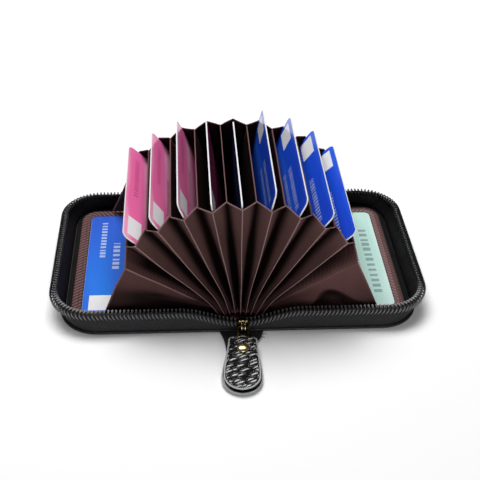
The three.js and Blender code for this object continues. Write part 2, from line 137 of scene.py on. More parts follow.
def rounded_half(x, reach, half, radius):
    """Half the width, at x, of a plate with two rounded outer corners."""
    past = np.clip(x - (reach - radius), 0, radius)
    return half - radius + np.sqrt(np.maximum(radius**2 - past**2, 0))


def rounded_outline(low_x, high_x, low_y, high_y, radius, steps=6):
    points = []
    corners = [
        (high_x - radius, low_y + radius, -90),
        (high_x - radius, high_y - radius, 0),
        (low_x + radius, high_y - radius, 90),
        (low_x + radius, low_y + radius, 180),
    ]
    for x, y, start in corners:
        for i in range(steps + 1):
            angle = math.radians(start + 90 * i / steps)
            points.append((x + radius * math.cos(angle), y + radius * math.sin(angle)))
    return np.array(points)


def offset_loop(outline, inset):
    """Moves a closed outline, given anticlockwise, inwards along its corners' bisectors."""
    back = unit(outline - np.roll(outline, 1, axis=0))
    ahead = unit(np.roll(outline, -1, axis=0) - outline)
    normal = unit(left_of(back + ahead))
    cosine = np.clip((normal * left_of(ahead)).sum(1), 0.4, 1)
    return outline + normal * (inset / cosine)[:, None]


def soft_noise(u, v, seed, scale):
    """Smooth low waves, the same each run."""
    waves = 5
    draw = np.random.default_rng(seed)
    total = np.zeros(np.broadcast(u, v).shape)
    for _ in range(waves):
        angle, phase = draw.uniform(0, 2 * math.pi, 2)
        pace = draw.uniform(0.6, 1.7) * 2 * math.pi / scale
        total = total + np.sin(pace * (u * math.cos(angle) + v * math.sin(angle)) + phase)
    return total / waves


def cell_noise(u, v, size, seed, stretch=1.0, turn=0.0):
    """Distance to the nearest and the second nearest of scattered points, in cells."""
    cells = 64
    a = (u * math.cos(turn) + v * math.sin(turn)) / (size * stretch)
    b = (-u * math.sin(turn) + v * math.cos(turn)) / size
    scatter = np.random.default_rng(seed).random((cells, cells, 2))
    near = np.full(a.shape, 9.0)
    second = near.copy()
    base_a, base_b = np.floor(a).astype(int), np.floor(b).astype(int)
    for i in (-1, 0, 1):
        for j in (-1, 0, 1):
            spot = scatter[(base_a + i) % cells, (base_b + j) % cells]
            distance = np.hypot(base_a + i + spot[..., 0] - a, base_b + j + spot[..., 1] - b)
            second = np.minimum(second, np.maximum(distance, near))
            near = np.minimum(near, distance)
    return near, second


# Meshes: a part is its vertices, faces, uv, edge values (painted highlight where positive, painted shade
# where negative) and the kinds of its faces
def make_object(name, part, materials, slots=(0, 0, 0)):
    """A smooth mesh object. The slots say which material each kind of face has."""
    vertices, faces, uv, edge, kind = part
    mesh = bpy.data.meshes.new(name)
    mesh.from_pydata((np.asarray(vertices, float) * MM).tolist(), [], [list(map(int, f)) for f in faces])
    obj = bpy.data.objects.new(name, mesh)
    scene.collection.objects.link(obj)
    for material in materials:
        mesh.materials.append(material)
    mesh.polygons.foreach_set("material_index", np.asarray(slots, np.int32)[kind])
    mesh.polygons.foreach_set("use_smooth", np.full(len(mesh.polygons), True))
    if uv is not None:
        layer = mesh.uv_layers.new(name="millimetres")
        corner = np.zeros(len(mesh.loops), np.int32)
        mesh.loops.foreach_get("vertex_index", corner)
        layer.data.foreach_set("uv", np.asarray(uv, np.float32)[corner].ravel())
    attribute = mesh.attributes.new("edge", "FLOAT", "POINT")
    attribute.data.foreach_set("value", np.asarray(edge, np.float32))
    mesh.validate()
    mesh.update()
    return obj


def plain_part(vertices, faces, uv):
    return vertices, faces, uv, np.zeros(len(vertices)), np.zeros(len(faces), int)


def joined(parts):
    vertices, faces, uvs, edges, kinds = zip(*parts)
    starts = np.cumsum([0] + [len(v) for v in vertices])
    moved = [np.asarray(face) + start for group, start in zip(faces, starts) for face in group]
    return np.concatenate(vertices), moved, np.concatenate(uvs), np.concatenate(edges), np.concatenate(kinds)


def turned(faces):
    return [face[::-1] for face in faces]


def grid_quads(rows, cols, start=0):
    i, j = grid(np.arange(rows - 1), np.arange(cols - 1))
    a = (start + i * cols + j).ravel()
    return np.stack([a, a + 1, a + cols + 1, a + cols], axis=1)


def shell_faces(rows, cols):
    """Closed skin over two grids that follow each other. The kinds are front, back and rim."""
    count = rows * cols
    top = [j for j in range(cols)]
    right = [i * cols + cols - 1 for i in range(1, rows)]
    bottom = [(rows - 1) * cols + j for j in range(cols - 2, -1, -1)]
    left = [i * cols for i in range(rows - 2, 0, -1)]
    loop = np.array(top + right + bottom + left)
    ahead = np.roll(loop, -1)
    rim = np.stack([ahead, loop, loop + count, ahead + count], axis=1)
    front = grid_quads(rows, cols)
    back = grid_quads(rows, cols, count)[:, ::-1]
    kind = np.repeat([0, 1, 2], [len(front), len(back), len(rim)])
    return np.concatenate([front, back, rim]), kind


def loft_faces(rings, size, closed=False, inward=False):
    """Quads between rings that follow each other, with flat ends unless the loft is closed."""
    k = np.arange(size)
    m = np.roll(k, -1)
    faces = []
    for i in range(rings if closed else rings - 1):
        a, b = i * size, (i + 1) % rings * size
        quads = (a + k, b + k, b + m, a + m) if inward else (a + k, a + m, b + m, b + k)
        faces.extend(np.stack(quads, axis=1))
    if not closed:
        ends = [k[::-1], (rings - 1) * size + k]
        faces.extend(turned(ends) if inward else ends)
    return faces


def sheet_parts(middle, thickness, uv, edge):
    """Closed thin solid around a grid of middle points."""
    rows, cols = middle.shape[:2]
    normal = unit(np.cross(np.gradient(middle, axis=1), np.gradient(middle, axis=0)))
    thick = np.broadcast_to(np.asarray(thickness, float), (rows, cols))[..., None]
    front = (middle + normal * thick / 2).reshape(-1, 3)
    back = (middle - normal * thick / 2).reshape(-1, 3)
    faces, kind = shell_faces(rows, cols)
    uv = np.tile(uv.reshape(-1, 2), (2, 1))
    return np.concatenate([front, back]), faces, uv, np.tile(edge.ravel(), 2), kind


def sheet_object(name, middle, thickness, uv, material, edge=None):
    edge = np.zeros(middle.shape[:2]) if edge is None else edge
    return make_object(name, sheet_parts(middle, thickness, uv, edge), [material])


def stack_parts(outline, levels, place):
    """Closed solid from one outline at several heights and insets. The kinds are top, bottom and side."""
    count = len(outline)
    rings = [offset_loop(outline, inset) for _, inset in levels]
    vertices = [place(ring, np.full(count, height)) for ring, (height, _) in zip(rings, levels)]
    faces = loft_faces(len(levels), count)
    kind = np.full(len(faces), 2)
    kind[-2:] = 1, 0
    return np.concatenate(vertices), faces, np.concatenate(rings), np.zeros(count * len(levels)), kind


def tube_parts(path, radii, sides=6, closed=False, up=(0, 0, 1)):
    """Tube along a path of points, with a radius at each."""
    path = np.asarray(path, float)
    count = len(path)
    along = np.roll(path, -1, axis=0) - np.roll(path, 1, axis=0) if closed else np.gradient(path, axis=0)
    along = unit(along)
    side = unit(np.cross(along, np.asarray(up, float)))
    rise = np.cross(side, along)
    k = np.arange(sides)
    angle = (k * 2 * math.pi / sides)[:, None]
    ring = side[:, None] * np.cos(angle) + rise[:, None] * np.sin(angle)
    radii = np.broadcast_to(np.asarray(radii, float), (count,))[:, None, None]
    uv = np.stack([np.repeat(run_of(path), sides), np.tile(k * 2.0 / sides, count)], axis=1)
    vertices = (path[:, None] + ring * radii).reshape(-1, 3)
    return plain_part(vertices, turned(loft_faces(count, sides, closed)), uv)


# Materials
class Nodes:
    """Short names for the nodes of one tree."""

    def __init__(self, tree):
        self.tree = tree

    def add(self, kind, **settings):
        made = self.tree.nodes.new(kind)
        for key, value in settings.items():
            if key in made.inputs:
                made.inputs[key].default_value = value
            else:
                setattr(made, key, value)
        return made

    def link(self, value, socket):
        """Puts a number, a colour or another node's output on a socket."""
        if isinstance(value, (int, float)):
            socket.default_value = value
        elif isinstance(value, tuple):
            socket.default_value = (*value, 1)
        else:
            self.tree.links.new(value, socket)

    def maths(self, operation, *values):
        made = self.add("ShaderNodeMath", operation=operation)
        for value, socket in zip(values, made.inputs):
            self.link(value, socket)
        return made.outputs[0]

    def times(self, first, second):
        return self.maths("MULTIPLY", first, second)

    def plus(self, first, second):
        return self.maths("ADD", first, second)

    def mix(self, factor, first, second):
        made = self.add("ShaderNodeMix", data_type="RGBA")
        for index, value in ((0, factor), (6, first), (7, second)):
            self.link(value, made.inputs[index])
        return made.outputs[2]

    def ramp(self, value, low, high, to_low=0.0, to_high=1.0):
        made = self.add("ShaderNodeMapRange")
        for name, number in (("From Min", low), ("From Max", high), ("To Min", to_low), ("To Max", to_high)):
            made.inputs[name].default_value = number
        self.link(value, made.inputs["Value"])
        return made.outputs["Result"]


class Look(Nodes):
    """A procedural material on the standard shader."""

    def __init__(self, name, color, roughness):
        self.material = bpy.data.materials.new(name)
        self.material.use_nodes = True
        super().__init__(self.material.node_tree)
        self.put("Base Color", color)
        self.put("Roughness", roughness)

    def put(self, name, value):
        self.link(value, self.tree.nodes["Principled BSDF"].inputs[name])

    def place(self, kind="UV"):
        return self.add("ShaderNodeTexCoord").outputs[kind]

    def edge(self):
        return self.add("ShaderNodeAttribute", attribute_name="edge").outputs["Fac"]

    def noise(self, vector, scale, detail):
        made = self.add("ShaderNodeTexNoise", Scale=scale, Detail=detail)
        self.link(vector, made.inputs["Vector"])
        return made.outputs["Fac"]

    def ribs(self, vector, pitch, turn):
        """Ribs of a woven fabric: a wave across the millimetre coordinates."""
        spin = self.add("ShaderNodeVectorRotate", rotation_type="Z_AXIS", Angle=turn)
        self.link(vector, spin.inputs["Vector"])
        wave = self.add("ShaderNodeTexWave", Scale=math.pi / (10 * pitch), Distortion=0.6)
        wave.inputs["Detail Scale"].default_value = 0.6
        self.link(spin.outputs["Vector"], wave.inputs["Vector"])
        return wave.outputs["Fac"]

    def bump(self, height, strength, distance):
        made = self.add("ShaderNodeBump", Strength=strength, Distance=distance)
        self.link(height, made.inputs["Height"])
        self.put("Normal", made.outputs["Normal"])

    def band(self, value, middle, width):
        away = self.maths("ABSOLUTE", self.maths("SUBTRACT", value, middle))
        return self.maths("LESS_THAN", away, width / 2)

    def dashes(self, u, v, start, length, row, height, pitch, seed):
        """A row of short printed dashes of uneven length, with no lettering."""
        inside = self.band(u, start + length / 2, length)
        line = self.band(v, row, height)
        cell = self.maths("DIVIDE", u, pitch)
        which = self.add("ShaderNodeTexWhiteNoise", noise_dimensions="1D")
        self.link(self.plus(self.maths("FLOOR", cell), seed), which.inputs["W"])
        long = self.plus(self.times(which.outputs["Value"], 0.3), 0.4)
        return self.times(self.times(inside, line), self.maths("LESS_THAN", self.maths("FRACT", cell), long))


def ribbed_fabric(name, dark, light, painted_highlight, pitch, turn, sheen=0.0, roughness=0.55):
    """Ribbed cloth, with a painted highlight where the edge value is positive and painted shade, near black,
    where it is negative.
    """
    look = Look(name, dark, roughness)
    where = look.place()
    first = look.ribs(where, pitch, turn)
    second = look.ribs(where, pitch * 0.8, turn + 1.57)
    cloud = look.noise(where, 0.06, 4.0)
    weave = look.plus(look.times(first, 0.26), look.times(second, 0.18))
    shade = look.plus(weave, look.times(cloud, 0.56))
    color = look.mix(look.ramp(shade, 0.2, 0.8), dark, light)
    # Painted shade, towards near black, where the edge value is negative; painted highlight where it is
    # positive.
    edge = look.edge()
    deep = tuple(0.03 * c for c in dark)
    color = look.mix(look.ramp(edge, 0.0, -1.0), color, deep)
    look.put("Base Color", look.mix(look.ramp(edge, 0.0, 1.0), color, painted_highlight))
    look.put("Roughness", look.ramp(cloud, 0.0, 1.0, roughness - 0.12, roughness + 0.12))
    look.bump(look.plus(first, look.times(second, 0.5)), 0.35, 0.00012)
    look.put("Specular IOR Level", 0.05)
    look.put("Sheen Weight", sheen)
    look.put("Sheen Roughness", 0.4)
    look.put("Sheen Tint", (0.75, 0.55, 0.55))
    return look.material


def woven_tape(name, color, light, pitch, roughness):
    look = Look(name, color, roughness)
    where = look.place()
    cloth = look.times(look.ribs(where, pitch, 0.78), look.ribs(where, pitch, -0.78))
    speck = look.noise(where, 2.2, 2.0)
    look.put("Base Color", look.mix(look.times(cloth, look.ramp(speck, 0.35, 0.75)), color, light))
    look.bump(cloth, 0.6, 0.00015)
    look.put("Specular IOR Level", 0.2)
    look.put("Sheen Weight", 0.02)
    look.put("Sheen Roughness", 0.45)
    return look.material


def smooth_lining(name, color, light, roughness, gloss):
    look = Look(name, color, roughness)
    where = look.place()
    look.put("Base Color", look.mix(look.noise(where, 0.12, 4.0), color, light))
    fine = look.ribs(where, 0.5, 0.2)
    look.bump(look.plus(look.times(fine, 0.15), look.noise(where, 0.25, 3.0)), 0.3, 0.0004)
    look.put("Specular IOR Level", gloss)
    return look.material


def grained_leather(name, color, light, size, strength, roughness, gloss):
    look = Look(name, color, roughness)
    where = look.place()
    bend = look.add("ShaderNodeTexNoise", Scale=0.5, Detail=2.0)
    look.link(where, bend.inputs["Vector"])
    warped = look.add("ShaderNodeMix", data_type="VECTOR")
    for index, value in ((0, 0.15), (4, where), (5, bend.outputs["Color"])):
        look.link(value, warped.inputs[index])
    cells = look.add("ShaderNodeTexVoronoi", feature="DISTANCE_TO_EDGE", Scale=1.0 / size)
    look.link(warped.outputs[1], cells.inputs["Vector"])
    raised = look.ramp(cells.outputs["Distance"], 0.0, 0.22)
    look.put("Base Color", look.mix(raised, color, light))
    look.put("Roughness", look.ramp(raised, 0.0, 1.0, roughness + 0.2, roughness))
    look.bump(look.plus(raised, look.times(look.noise(where, 3.0, 3.0), 0.25)), strength, 0.0003)
    look.put("Specular IOR Level", gloss)
    return look.material


def old_brass(name, low, high):
    look = Look(name, high, 0.25)
    where = look.place("Object")
    look.put("Metallic", 1.0)
    look.put("Base Color", look.mix(look.ramp(look.noise(where, 900.0, 4.0), 0.35, 0.7), low, high))
    look.put("Roughness", look.ramp(look.noise(where, 4000.0, 2.0), 0.0, 1.0, 0.16, 0.36))
    return look.material


def moulded(name, color, light, roughness, crown=None):
    """Plastic, thread or a cut edge. With a crown colour it gets a painted highlight where the edge value
    says so.
    """
    look = Look(name, color, roughness)
    speck = look.noise(look.place("Object"), 2500.0, 3.0)
    tone = look.mix(look.ramp(speck, 0.4, 0.8), color, light)
    if crown:
        tone = look.mix(look.edge(), tone, crown)
        look.put("Specular IOR Level", 0.45)
    look.put("Base Color", tone)
    look.bump(speck, 0.1, 0.0001)
    return look.material


def printed_card(name, near, far, glow, patch, rows, ink, roughness=0.28, coat=0.3, label=(0.86, 0.86, 0.88)):
    """Printed plastic: a colour drifting along the card, soft streaks, a blank patch and rows of dashes."""
    look = Look(name, near, roughness)
    where = look.place()
    split = look.add("ShaderNodeSeparateXYZ")
    look.link(where, split.inputs[0])
    u, v = split.outputs["X"], split.outputs["Y"]
    color = look.mix(look.ramp(u, -42.0, 42.0), near, far)
    streak = look.add("ShaderNodeTexWave", Scale=0.018, Distortion=6.0, wave_type="RINGS")
    streak.inputs["Detail Scale"].default_value = 0.4
    look.link(where, streak.inputs["Vector"])
    color = look.mix(look.times(look.ramp(streak.outputs["Fac"], 0.45, 1.0), 0.55), color, glow)
    height = look.times(look.noise(where, 1.5, 2.0), 0.1)
    for index, row in enumerate(rows):
        mask = look.dashes(u, v, *row, 3.0 * index + 1.0)
        color = look.mix(look.times(mask, 0.6), color, ink)
        height = look.plus(height, mask)
    if patch:
        (middle_u, middle_v), (long, wide) = patch
        inner = look.times(look.band(u, middle_u, long), look.band(v, middle_v, wide))
        color = look.mix(inner, color, label)
    look.put("Base Color", color)
    look.bump(height, 0.35, 0.0002)
    look.put("Coat Weight", coat)
    look.put("Coat Roughness", 0.12)
    return look.material


def clear_film(name):
    look = Look(name, (0.3, 0.32, 0.33), 0.08)
    look.bump(look.noise(look.place(), 0.05, 3.0), 0.4, 0.002)
    look.put("Alpha", 0.025)
    return look.material


# Colour of the painted highlight on crests, folds and rims.
PAINTED_HIGHLIGHT = (0.47, 0.29, 0.29)
brown = ribbed_fabric(
    "brown_ribbed_fabric", (0.07, 0.035, 0.033), (0.135, 0.072, 0.068), PAINTED_HIGHLIGHT, pitch=0.95, turn=0.1
)
# Painted shade: the brown cloth made near black for the dividers, the pleats' inner faces and the spine
# lining.
brown_shaded = ribbed_fabric(
    "brown_fabric_painted_shade", (0.008, 0.003, 0.003), (0.016, 0.007, 0.007), (0.3, 0.16, 0.155),
    pitch=0.75, turn=0.5, roughness=0.7,
)
gusset_cloth = ribbed_fabric(
    "brown_gusset_fabric", (0.066, 0.031, 0.03), (0.146, 0.072, 0.069), PAINTED_HIGHLIGHT, pitch=1.0, turn=2.2
)
border_cloth = ribbed_fabric(
    "brown_border_fabric", (0.085, 0.034, 0.032), (0.13, 0.054, 0.052), (0.34, 0.17, 0.165),
    pitch=0.6, turn=0.9,
)
piping_cloth = ribbed_fabric(
    "brown_piping", (0.16, 0.075, 0.072), (0.27, 0.145, 0.14), (0.4, 0.26, 0.26),
    pitch=0.6, turn=1.2, sheen=0.2, roughness=0.4,
)
red_ribbon = ribbed_fabric(
    "dark_red_ribbon", (0.016, 0.0015, 0.002), (0.03, 0.003, 0.004), (0.085, 0.011, 0.013),
    pitch=0.5, turn=1.4, roughness=0.5,
)
tape_cloth = woven_tape("zip_tape_weave", (0.009, 0.009, 0.01), (0.09, 0.09, 0.1), 0.7, 0.6)
tongue_cloth = woven_tape("zip_tongue_weave", (0.006, 0.006, 0.007), (0.06, 0.06, 0.062), 0.8, 0.5)
inner_lining = smooth_lining("black_inner_lining", (0.005, 0.005, 0.006), (0.009, 0.009, 0.01), 0.38, 0.22)
floor_lining = smooth_lining("black_floor_lining", (0.004, 0.004, 0.004), (0.008, 0.007, 0.007), 0.6, 0.04)
cover_leather = grained_leather(
    "black_cover_leather", (0.008, 0.008, 0.009), (0.016, 0.016, 0.017),
    size=1.1, strength=0.4, roughness=0.42, gloss=0.4,
)
tab_leather = grained_leather(
    "black_tab_leather", (0.003, 0.003, 0.003), (0.006, 0.006, 0.007),
    size=0.6, strength=0.06, roughness=0.12, gloss=0.9,
)
raw_edge = moulded("raw_leather_edge", (0.3, 0.3, 0.31), (0.62, 0.62, 0.64), 0.6)
# The coil's crown colour is a painted highlight.
coil_nylon = moulded("zip_coil_nylon", (0.005, 0.005, 0.006), (0.016, 0.016, 0.017), 0.25, (0.4, 0.4, 0.41))
black_thread = moulded("black_thread", (0.012, 0.012, 0.012), (0.04, 0.04, 0.04), 0.6)
brass = old_brass("antique_brass", (0.55, 0.38, 0.16), (0.95, 0.78, 0.45))
# Brass with a painted dark reflection, for the slider's plates and the bridge's sunk middle.
brass_dark_reflection = old_brass("brass_painted_dark_reflection", (0.03, 0.022, 0.014), (0.16, 0.11, 0.05))
# Brass with painted shade, for the pull ring.
shaded_ring_brass = old_brass("ring_brass_painted_shade", (0.05, 0.035, 0.018), (0.5, 0.35, 0.14))
card_core = moulded("white_card_core", (0.78, 0.78, 0.8), (0.9, 0.9, 0.92), 0.45)
film = clear_film("clear_pocket_film")

# A card's patch is its middle and size. A row is its start, length, place, height and pitch.
ROSE_PATCH = ((-31.5, 20.3), (15.5, 8.5))
ROSE_ROWS = [(-3.0, 36.0, 20.5, 2.8, 2.7), (-24.0, 34.0, 12.0, 2.8, 2.9)]
rose_card = printed_card(
    "rose_card_print", (0.9, 0.17, 0.42), (0.86, 0.16, 0.42), (1.0, 0.6, 0.76),
    ROSE_PATCH, ROSE_ROWS, ink=(0.45, 0.05, 0.16),
)
plum_card = printed_card(
    "plum_card_print", (0.2, 0.02, 0.09), (0.26, 0.03, 0.12), (0.4, 0.08, 0.2),
    ROSE_PATCH, ROSE_ROWS, ink=(0.1, 0.01, 0.05),
)
night_card = printed_card(
    "night_card_print", (0.015, 0.02, 0.09), (0.02, 0.03, 0.13), (0.05, 0.07, 0.2),
    None, ROSE_ROWS, ink=(0.08, 0.09, 0.16),
)
blue_card = printed_card(
    "blue_card_print", (0.01, 0.085, 0.72), (0.012, 0.06, 0.58), (0.03, 0.15, 0.85),
    ((-31.5, 19.6), (16.5, 8.8)), [(-2.0, 38.0, 17.5, 3.2, 2.7), (-4.0, 34.0, 11.5, 2.6, 2.9)],
    ink=(0.5, 0.58, 0.85),
)
azure_card = printed_card(
    "azure_card_print", (0.012, 0.22, 0.88), (0.02, 0.1, 0.62), (0.03, 0.13, 0.72),
    ((-36.0, 17.5), (12.0, 12.5)), [(3.0, 33.0, 19.0, 3.0, 2.9), (-9.0, 25.0, 11.5, 3.6, 3.8)],
    ink=(0.72, 0.8, 0.95), roughness=0.12, coat=0.0,
)
mint_card = printed_card(
    "mint_card_print", (0.58, 0.84, 0.76), (0.54, 0.8, 0.72), (0.75, 0.93, 0.89),
    ((10.0, 7.0), (17.0, 6.0)), [(-33.0, 58.0, 20.0, 4.2, 4.6), (-20.0, 46.0, 13.5, 1.6, 2.3)],
    ink=(0.1, 0.17, 0.18), roughness=0.14, coat=0.0, label=(0.55, 0.5, 0.68),
)


def finish_piece(obj, body, nodes=()):
    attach(obj, body)
    if nodes:
        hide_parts(*nodes)
    return obj


# Zip wall, chain and leather of each half
def zip_path(side, step):
    """Zip line from the spine at the front round to the rear: run, points, directions along and outward."""
    line = three_sides(0.0, ZIP_REACH, ZIP_HALF, ZIP_CORNER, 60)
    length = run_of(line)[-1]
    at = np.linspace(0, length, int(round(length / step)) + 1)
    points = points_at(line, at)
    along = unit(np.gradient(points, axis=0))
    mirror = np.array([side, 1.0])
    return at, points * mirror, along * mirror, -left_of(along) * mirror


def zip_dip(x):
    return DIP_DEPTH * (1 - smoothstep(0, DIP_REACH, np.abs(x)))


def foot_of(points):
    x = np.abs(points[:, 0])
    scale = (FOOT_REACH - FLEX_REACH) / (ZIP_REACH - FLEX_REACH)
    moved = np.where(x > FLEX_REACH, FLEX_REACH + (x - FLEX_REACH) * scale, x)
    return np.stack([np.sign(points[:, 0]) * moved, points[:, 1] * FOOT_HALF / ZIP_HALF], axis=1)


# The wall's section: share of the height, and how far out of the zip line
OUTER = [
    (0.0, 0.62), (0.05, 0.78), (0.14, 0.92), (0.28, 1.05), (0.42, 1.02), (0.56, 0.9), (0.66, 0.78),
    (0.7, 0.58), (0.74, 0.66), (0.84, 0.66), (0.93, 0.72), (1.0, 0.6),
]
INNER = [(1.0, -0.6), (0.94, -0.7), (0.8, -0.62), (0.6, -0.75), (0.4, -0.85), (0.2, -0.8), (0.0, -0.62)]
WALL_FLAT = 9.0


def make_wall(name, side):
    at, points, _, outward = zip_path(side, 1.0)
    foot = foot_of(points)
    top = WALL_TOP + 0.9 - zip_dip(points[:, 0])
    low = LEATHER_THICK - 0.05
    corner = smoothstep(55, 75, np.abs(points[:, 0])) * smoothstep(15, 30, np.abs(points[:, 1]))
    rings, uv = [], []
    for h, n in OUTER + INNER:
        ease = math.sin(math.pi * h)
        up = np.full(len(at), WALL_FLAT * h)
        wobble = 0.28 * ease * soft_noise(at, up, 31 + (side > 0), 34.0)
        pucker = 0.16 * ease * corner * np.sin(at * 1.25 + 3 * h)
        sway = n + (wobble + pucker) * (1 if n > 0 else 0.8)
        flat = foot + (points - foot) * h + outward * sway[:, None]
        rings.append(np.column_stack([flat, low + (top - low) * h]))
        uv.append(np.stack([at, up if n > 0 else 2 * WALL_FLAT - up], axis=1))
    size = len(rings)
    faces = loft_faces(len(at), size, inward=True)
    kind = np.append(np.tile(np.arange(size) >= len(OUTER), len(at) - 1), [0, 0]).astype(int)
    vertices = np.stack(rings, axis=1).reshape(-1, 3)
    part = vertices, faces if side > 0 else turned(faces), np.stack(uv, axis=1).reshape(-1, 2)
    return make_object(name, (*part, np.zeros(len(vertices)), kind), [tape_cloth, inner_lining], (0, 1))


# One turn of the coil: along the chain, outward, up, radius and how much painted highlight it gets
TOOTH = np.array([
    (-1.5, 1.3, -2.5, 0.3, 0.1), (-0.85, 1.62, -1.5, 0.35, 0.3), (-0.25, 1.8, -0.4, 0.4, 0.35),
    (0.0, 1.72, 0.55, 0.46, 0.2), (0.05, 1.2, 1.2, 0.46, 0.05), (0.05, 0.3, 1.38, 0.44, 0.1),
    (0.05, -0.7, 1.5, 0.52, 0.55), (0.05, -1.45, 1.2, 0.6, 1.0), (0.0, -1.8, 0.4, 0.52, 0.5),
    (0.1, -1.65, -0.5, 0.4, 0.05), (0.45, -1.2, -1.4, 0.3, 0.0),
])
TOOTH_SIDES = 6
SLIDER_BARE = 2.4


def make_coil(name, side):
    _, points, along, outward = zip_path(side, TOOTH_PITCH)
    parts = []
    for i in range(len(points) - 1):
        place, tangent, away = ((row[i] + row[i + 1]) / 2 for row in (points, along, outward))
        if abs(place[0]) < SLIDER_BARE and place[1] < 0:
            continue
        base = WALL_TOP + 0.3 - zip_dip(place[0])
        slope = (zip_dip(points[i][0]) - zip_dip(points[i + 1][0])) / TOOTH_PITCH
        flat = place + TOOTH[:, :1] * tangent + TOOTH[:, 1:2] * away
        height = base + TOOTH[:, 2:3] + TOOTH[:, :1] * slope
        path = np.concatenate([flat, height], axis=1)
        v, f, u, _, k = tube_parts(path, TOOTH[:, 3], TOOTH_SIDES, up=(*tangent, 0.0))
        # Painted highlight on the crowns of the turns, only on the teeth that face the front.
        painted_glint = np.repeat(TOOTH[:, 4] * smoothstep(-0.1, 0.6, -away[1]), TOOTH_SIDES)
        parts.append((v, f, u, painted_glint, k))
    return make_object(name, joined(parts), [coil_nylon])


def leather_inset(x, y):
    """Distance in from the leather's edge."""
    dx, dy = x - (LEATHER_REACH - ZIP_CORNER), np.abs(y) - (LEATHER_HALF - ZIP_CORNER)
    outside = np.hypot(np.maximum(dx, 0), np.maximum(dy, 0)) + np.minimum(np.maximum(dx, dy), 0)
    return ZIP_CORNER - outside


EDGE_ROUND = 0.8
STITCH_INSET = 3.0


def make_leather(name, side):
    edge_columns = LEATHER_REACH - np.array([1.8, 1.3, 0.9, 0.55, 0.28, 0.1, 0.0])
    columns = np.concatenate([np.linspace(0, LEATHER_REACH - 2.4, 82), edge_columns])
    edge_rows = 1 - np.array([0.0, 0.002, 0.006, 0.012, 0.02, 0.032, 0.045])
    rows = np.concatenate([-edge_rows, np.linspace(-0.94, 0.94, 104), edge_rows[::-1]])
    x, v = grid(columns, rows)
    y = v * rounded_half(x, LEATHER_REACH, LEATHER_HALF, ZIP_CORNER)
    inset = np.clip(leather_inset(x, y), 0, None)
    short = EDGE_ROUND - np.minimum(inset, EDGE_ROUND)
    round_over = EDGE_ROUND - np.sqrt(np.maximum(EDGE_ROUND**2 - short**2, 0))
    near, second = cell_noise(x, y, 1.7, 5)
    inner = smoothstep(0.4, 2.0, inset)
    pebble = smoothstep(0.02, 0.35, second - near) * inner
    groove = bell(inset - STITCH_INSET, 0.55) * smoothstep(14.5, 16.0, x)
    under = round_over + 0.16 * (1 - pebble) * inner + 0.22 * groove
    vertices = np.concatenate([
        np.stack([side * x, y, z], axis=2).reshape(-1, 3) for z in (under, LEATHER_THICK - round_over)
    ])
    faces, _ = shell_faces(*x.shape)
    return make_object(name, plain_part(vertices, faces[:, ::side], vertices[:, :2]), [cover_leather])


def stitch_row(path, outward_up, length, pitch, radius):
    """Separate thread stitches along a path of points."""
    parts = []
    for start in np.arange(pitch / 2, run_of(path)[-1] - length, pitch):
        spots = points_at(path, start + length * np.array([0.0, 0.12, 0.35, 0.65, 0.88, 1.0]))
        rise = np.array([-0.9, 0.1, 0.55, 0.55, 0.1, -0.9]) * radius
        spots = spots + np.outer(rise, outward_up)
        thick = radius * np.array([0.55, 0.9, 1.0, 1.0, 0.9, 0.55])
        parts.append(tube_parts(spots, thick, up=unit(np.cross(spots[-1] - spots[0], outward_up))))
    return joined(parts)


def leather_stitches(side):
    line = three_sides(
        16.0, LEATHER_REACH - STITCH_INSET, LEATHER_HALF - STITCH_INSET, ZIP_CORNER - STITCH_INSET, 24
    )
    path = np.column_stack([line * (side, 1.0), np.full(len(line), 0.26)])
    return stitch_row(path, np.array([0, 0, -1.0]), length=2.4, pitch=3.3, radius=0.24)


for word, side in SIDES:
    cover = f"{word}_cover"

    wall = make_wall(f"{word}_zip_wall", side)
    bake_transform(wall)
    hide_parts(f"{word}_cover_wall", "front_tape_web", "rear_tape_web")

    coil = make_coil(f"{word}_zip_coil", side)
    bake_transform(coil)
    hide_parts(f"{word}_cover_teeth", f"front_teeth_{word}", f"rear_teeth_{word}")

    leather = make_leather(f"{word}_leather_shell", side)
    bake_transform(leather)
    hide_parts(f"{word}_cover_leather", "spine_leather")

    stitches = make_object(f"{word}_leather_stitches", leather_stitches(side), [black_thread])
    finish_piece(stitches, cover)


# Linings, clear pockets and the cards in them
def cover_sheet(name, side, columns, rows, half, radius, thickness, material, rise):
    """A sheet on a cover, with rounded outer corners. Its height at x and y is what rise gives."""
    x, v = grid(columns, np.linspace(-1, 1, rows))
    y = v * rounded_half(x, columns[-1], half, radius)
    middle = np.stack([side * x, y, rise(x, y)], axis=2)
    uv = np.stack([x, y], axis=2)
    return sheet_object(name, middle[:, ::-side], thickness, uv[:, ::-side], material)


def make_floor(word, side):
    reach, half = FOOT_REACH - 0.9, FOOT_HALF - 0.9
    columns = np.concatenate([np.linspace(12.6, reach - 2, 60), reach - np.array([1.2, 0.6, 0.2, 0.0])])
    return cover_sheet(
        f"{word}_floor_lining", side, columns, 81, half, 18.0, 0.4, floor_lining,
        lambda x, y: 2.0 + 0.1 * soft_noise(x, y, 3, 26.0),
    )


def border_line(offset):
    """The middle line of a pocket's border moved outwards, from its front end round to its rear end."""
    grow = 0.3 + WINDOW_BORDER / 2 + offset
    radius = WINDOW_CORNER - WINDOW_BORDER / 2 + offset
    return three_sides(WINDOW_MOUTH, WINDOW_REACH + grow, CARD_LENGTH / 2 + grow, radius, 14, 16, 40)


def make_film(word, side):
    reach, half = border_line(WINDOW_BORDER / 2 - 0.3).max(axis=0)
    return cover_sheet(
        f"{word}_pocket_film", side, np.linspace(WINDOW_MOUTH, reach, 46), 61, half,
        WINDOW_CORNER - 0.3, 0.12, film,
        lambda x, y: 3.92 + 0.14 * soft_noise(x, y, 12 + side, 40.0),
    )


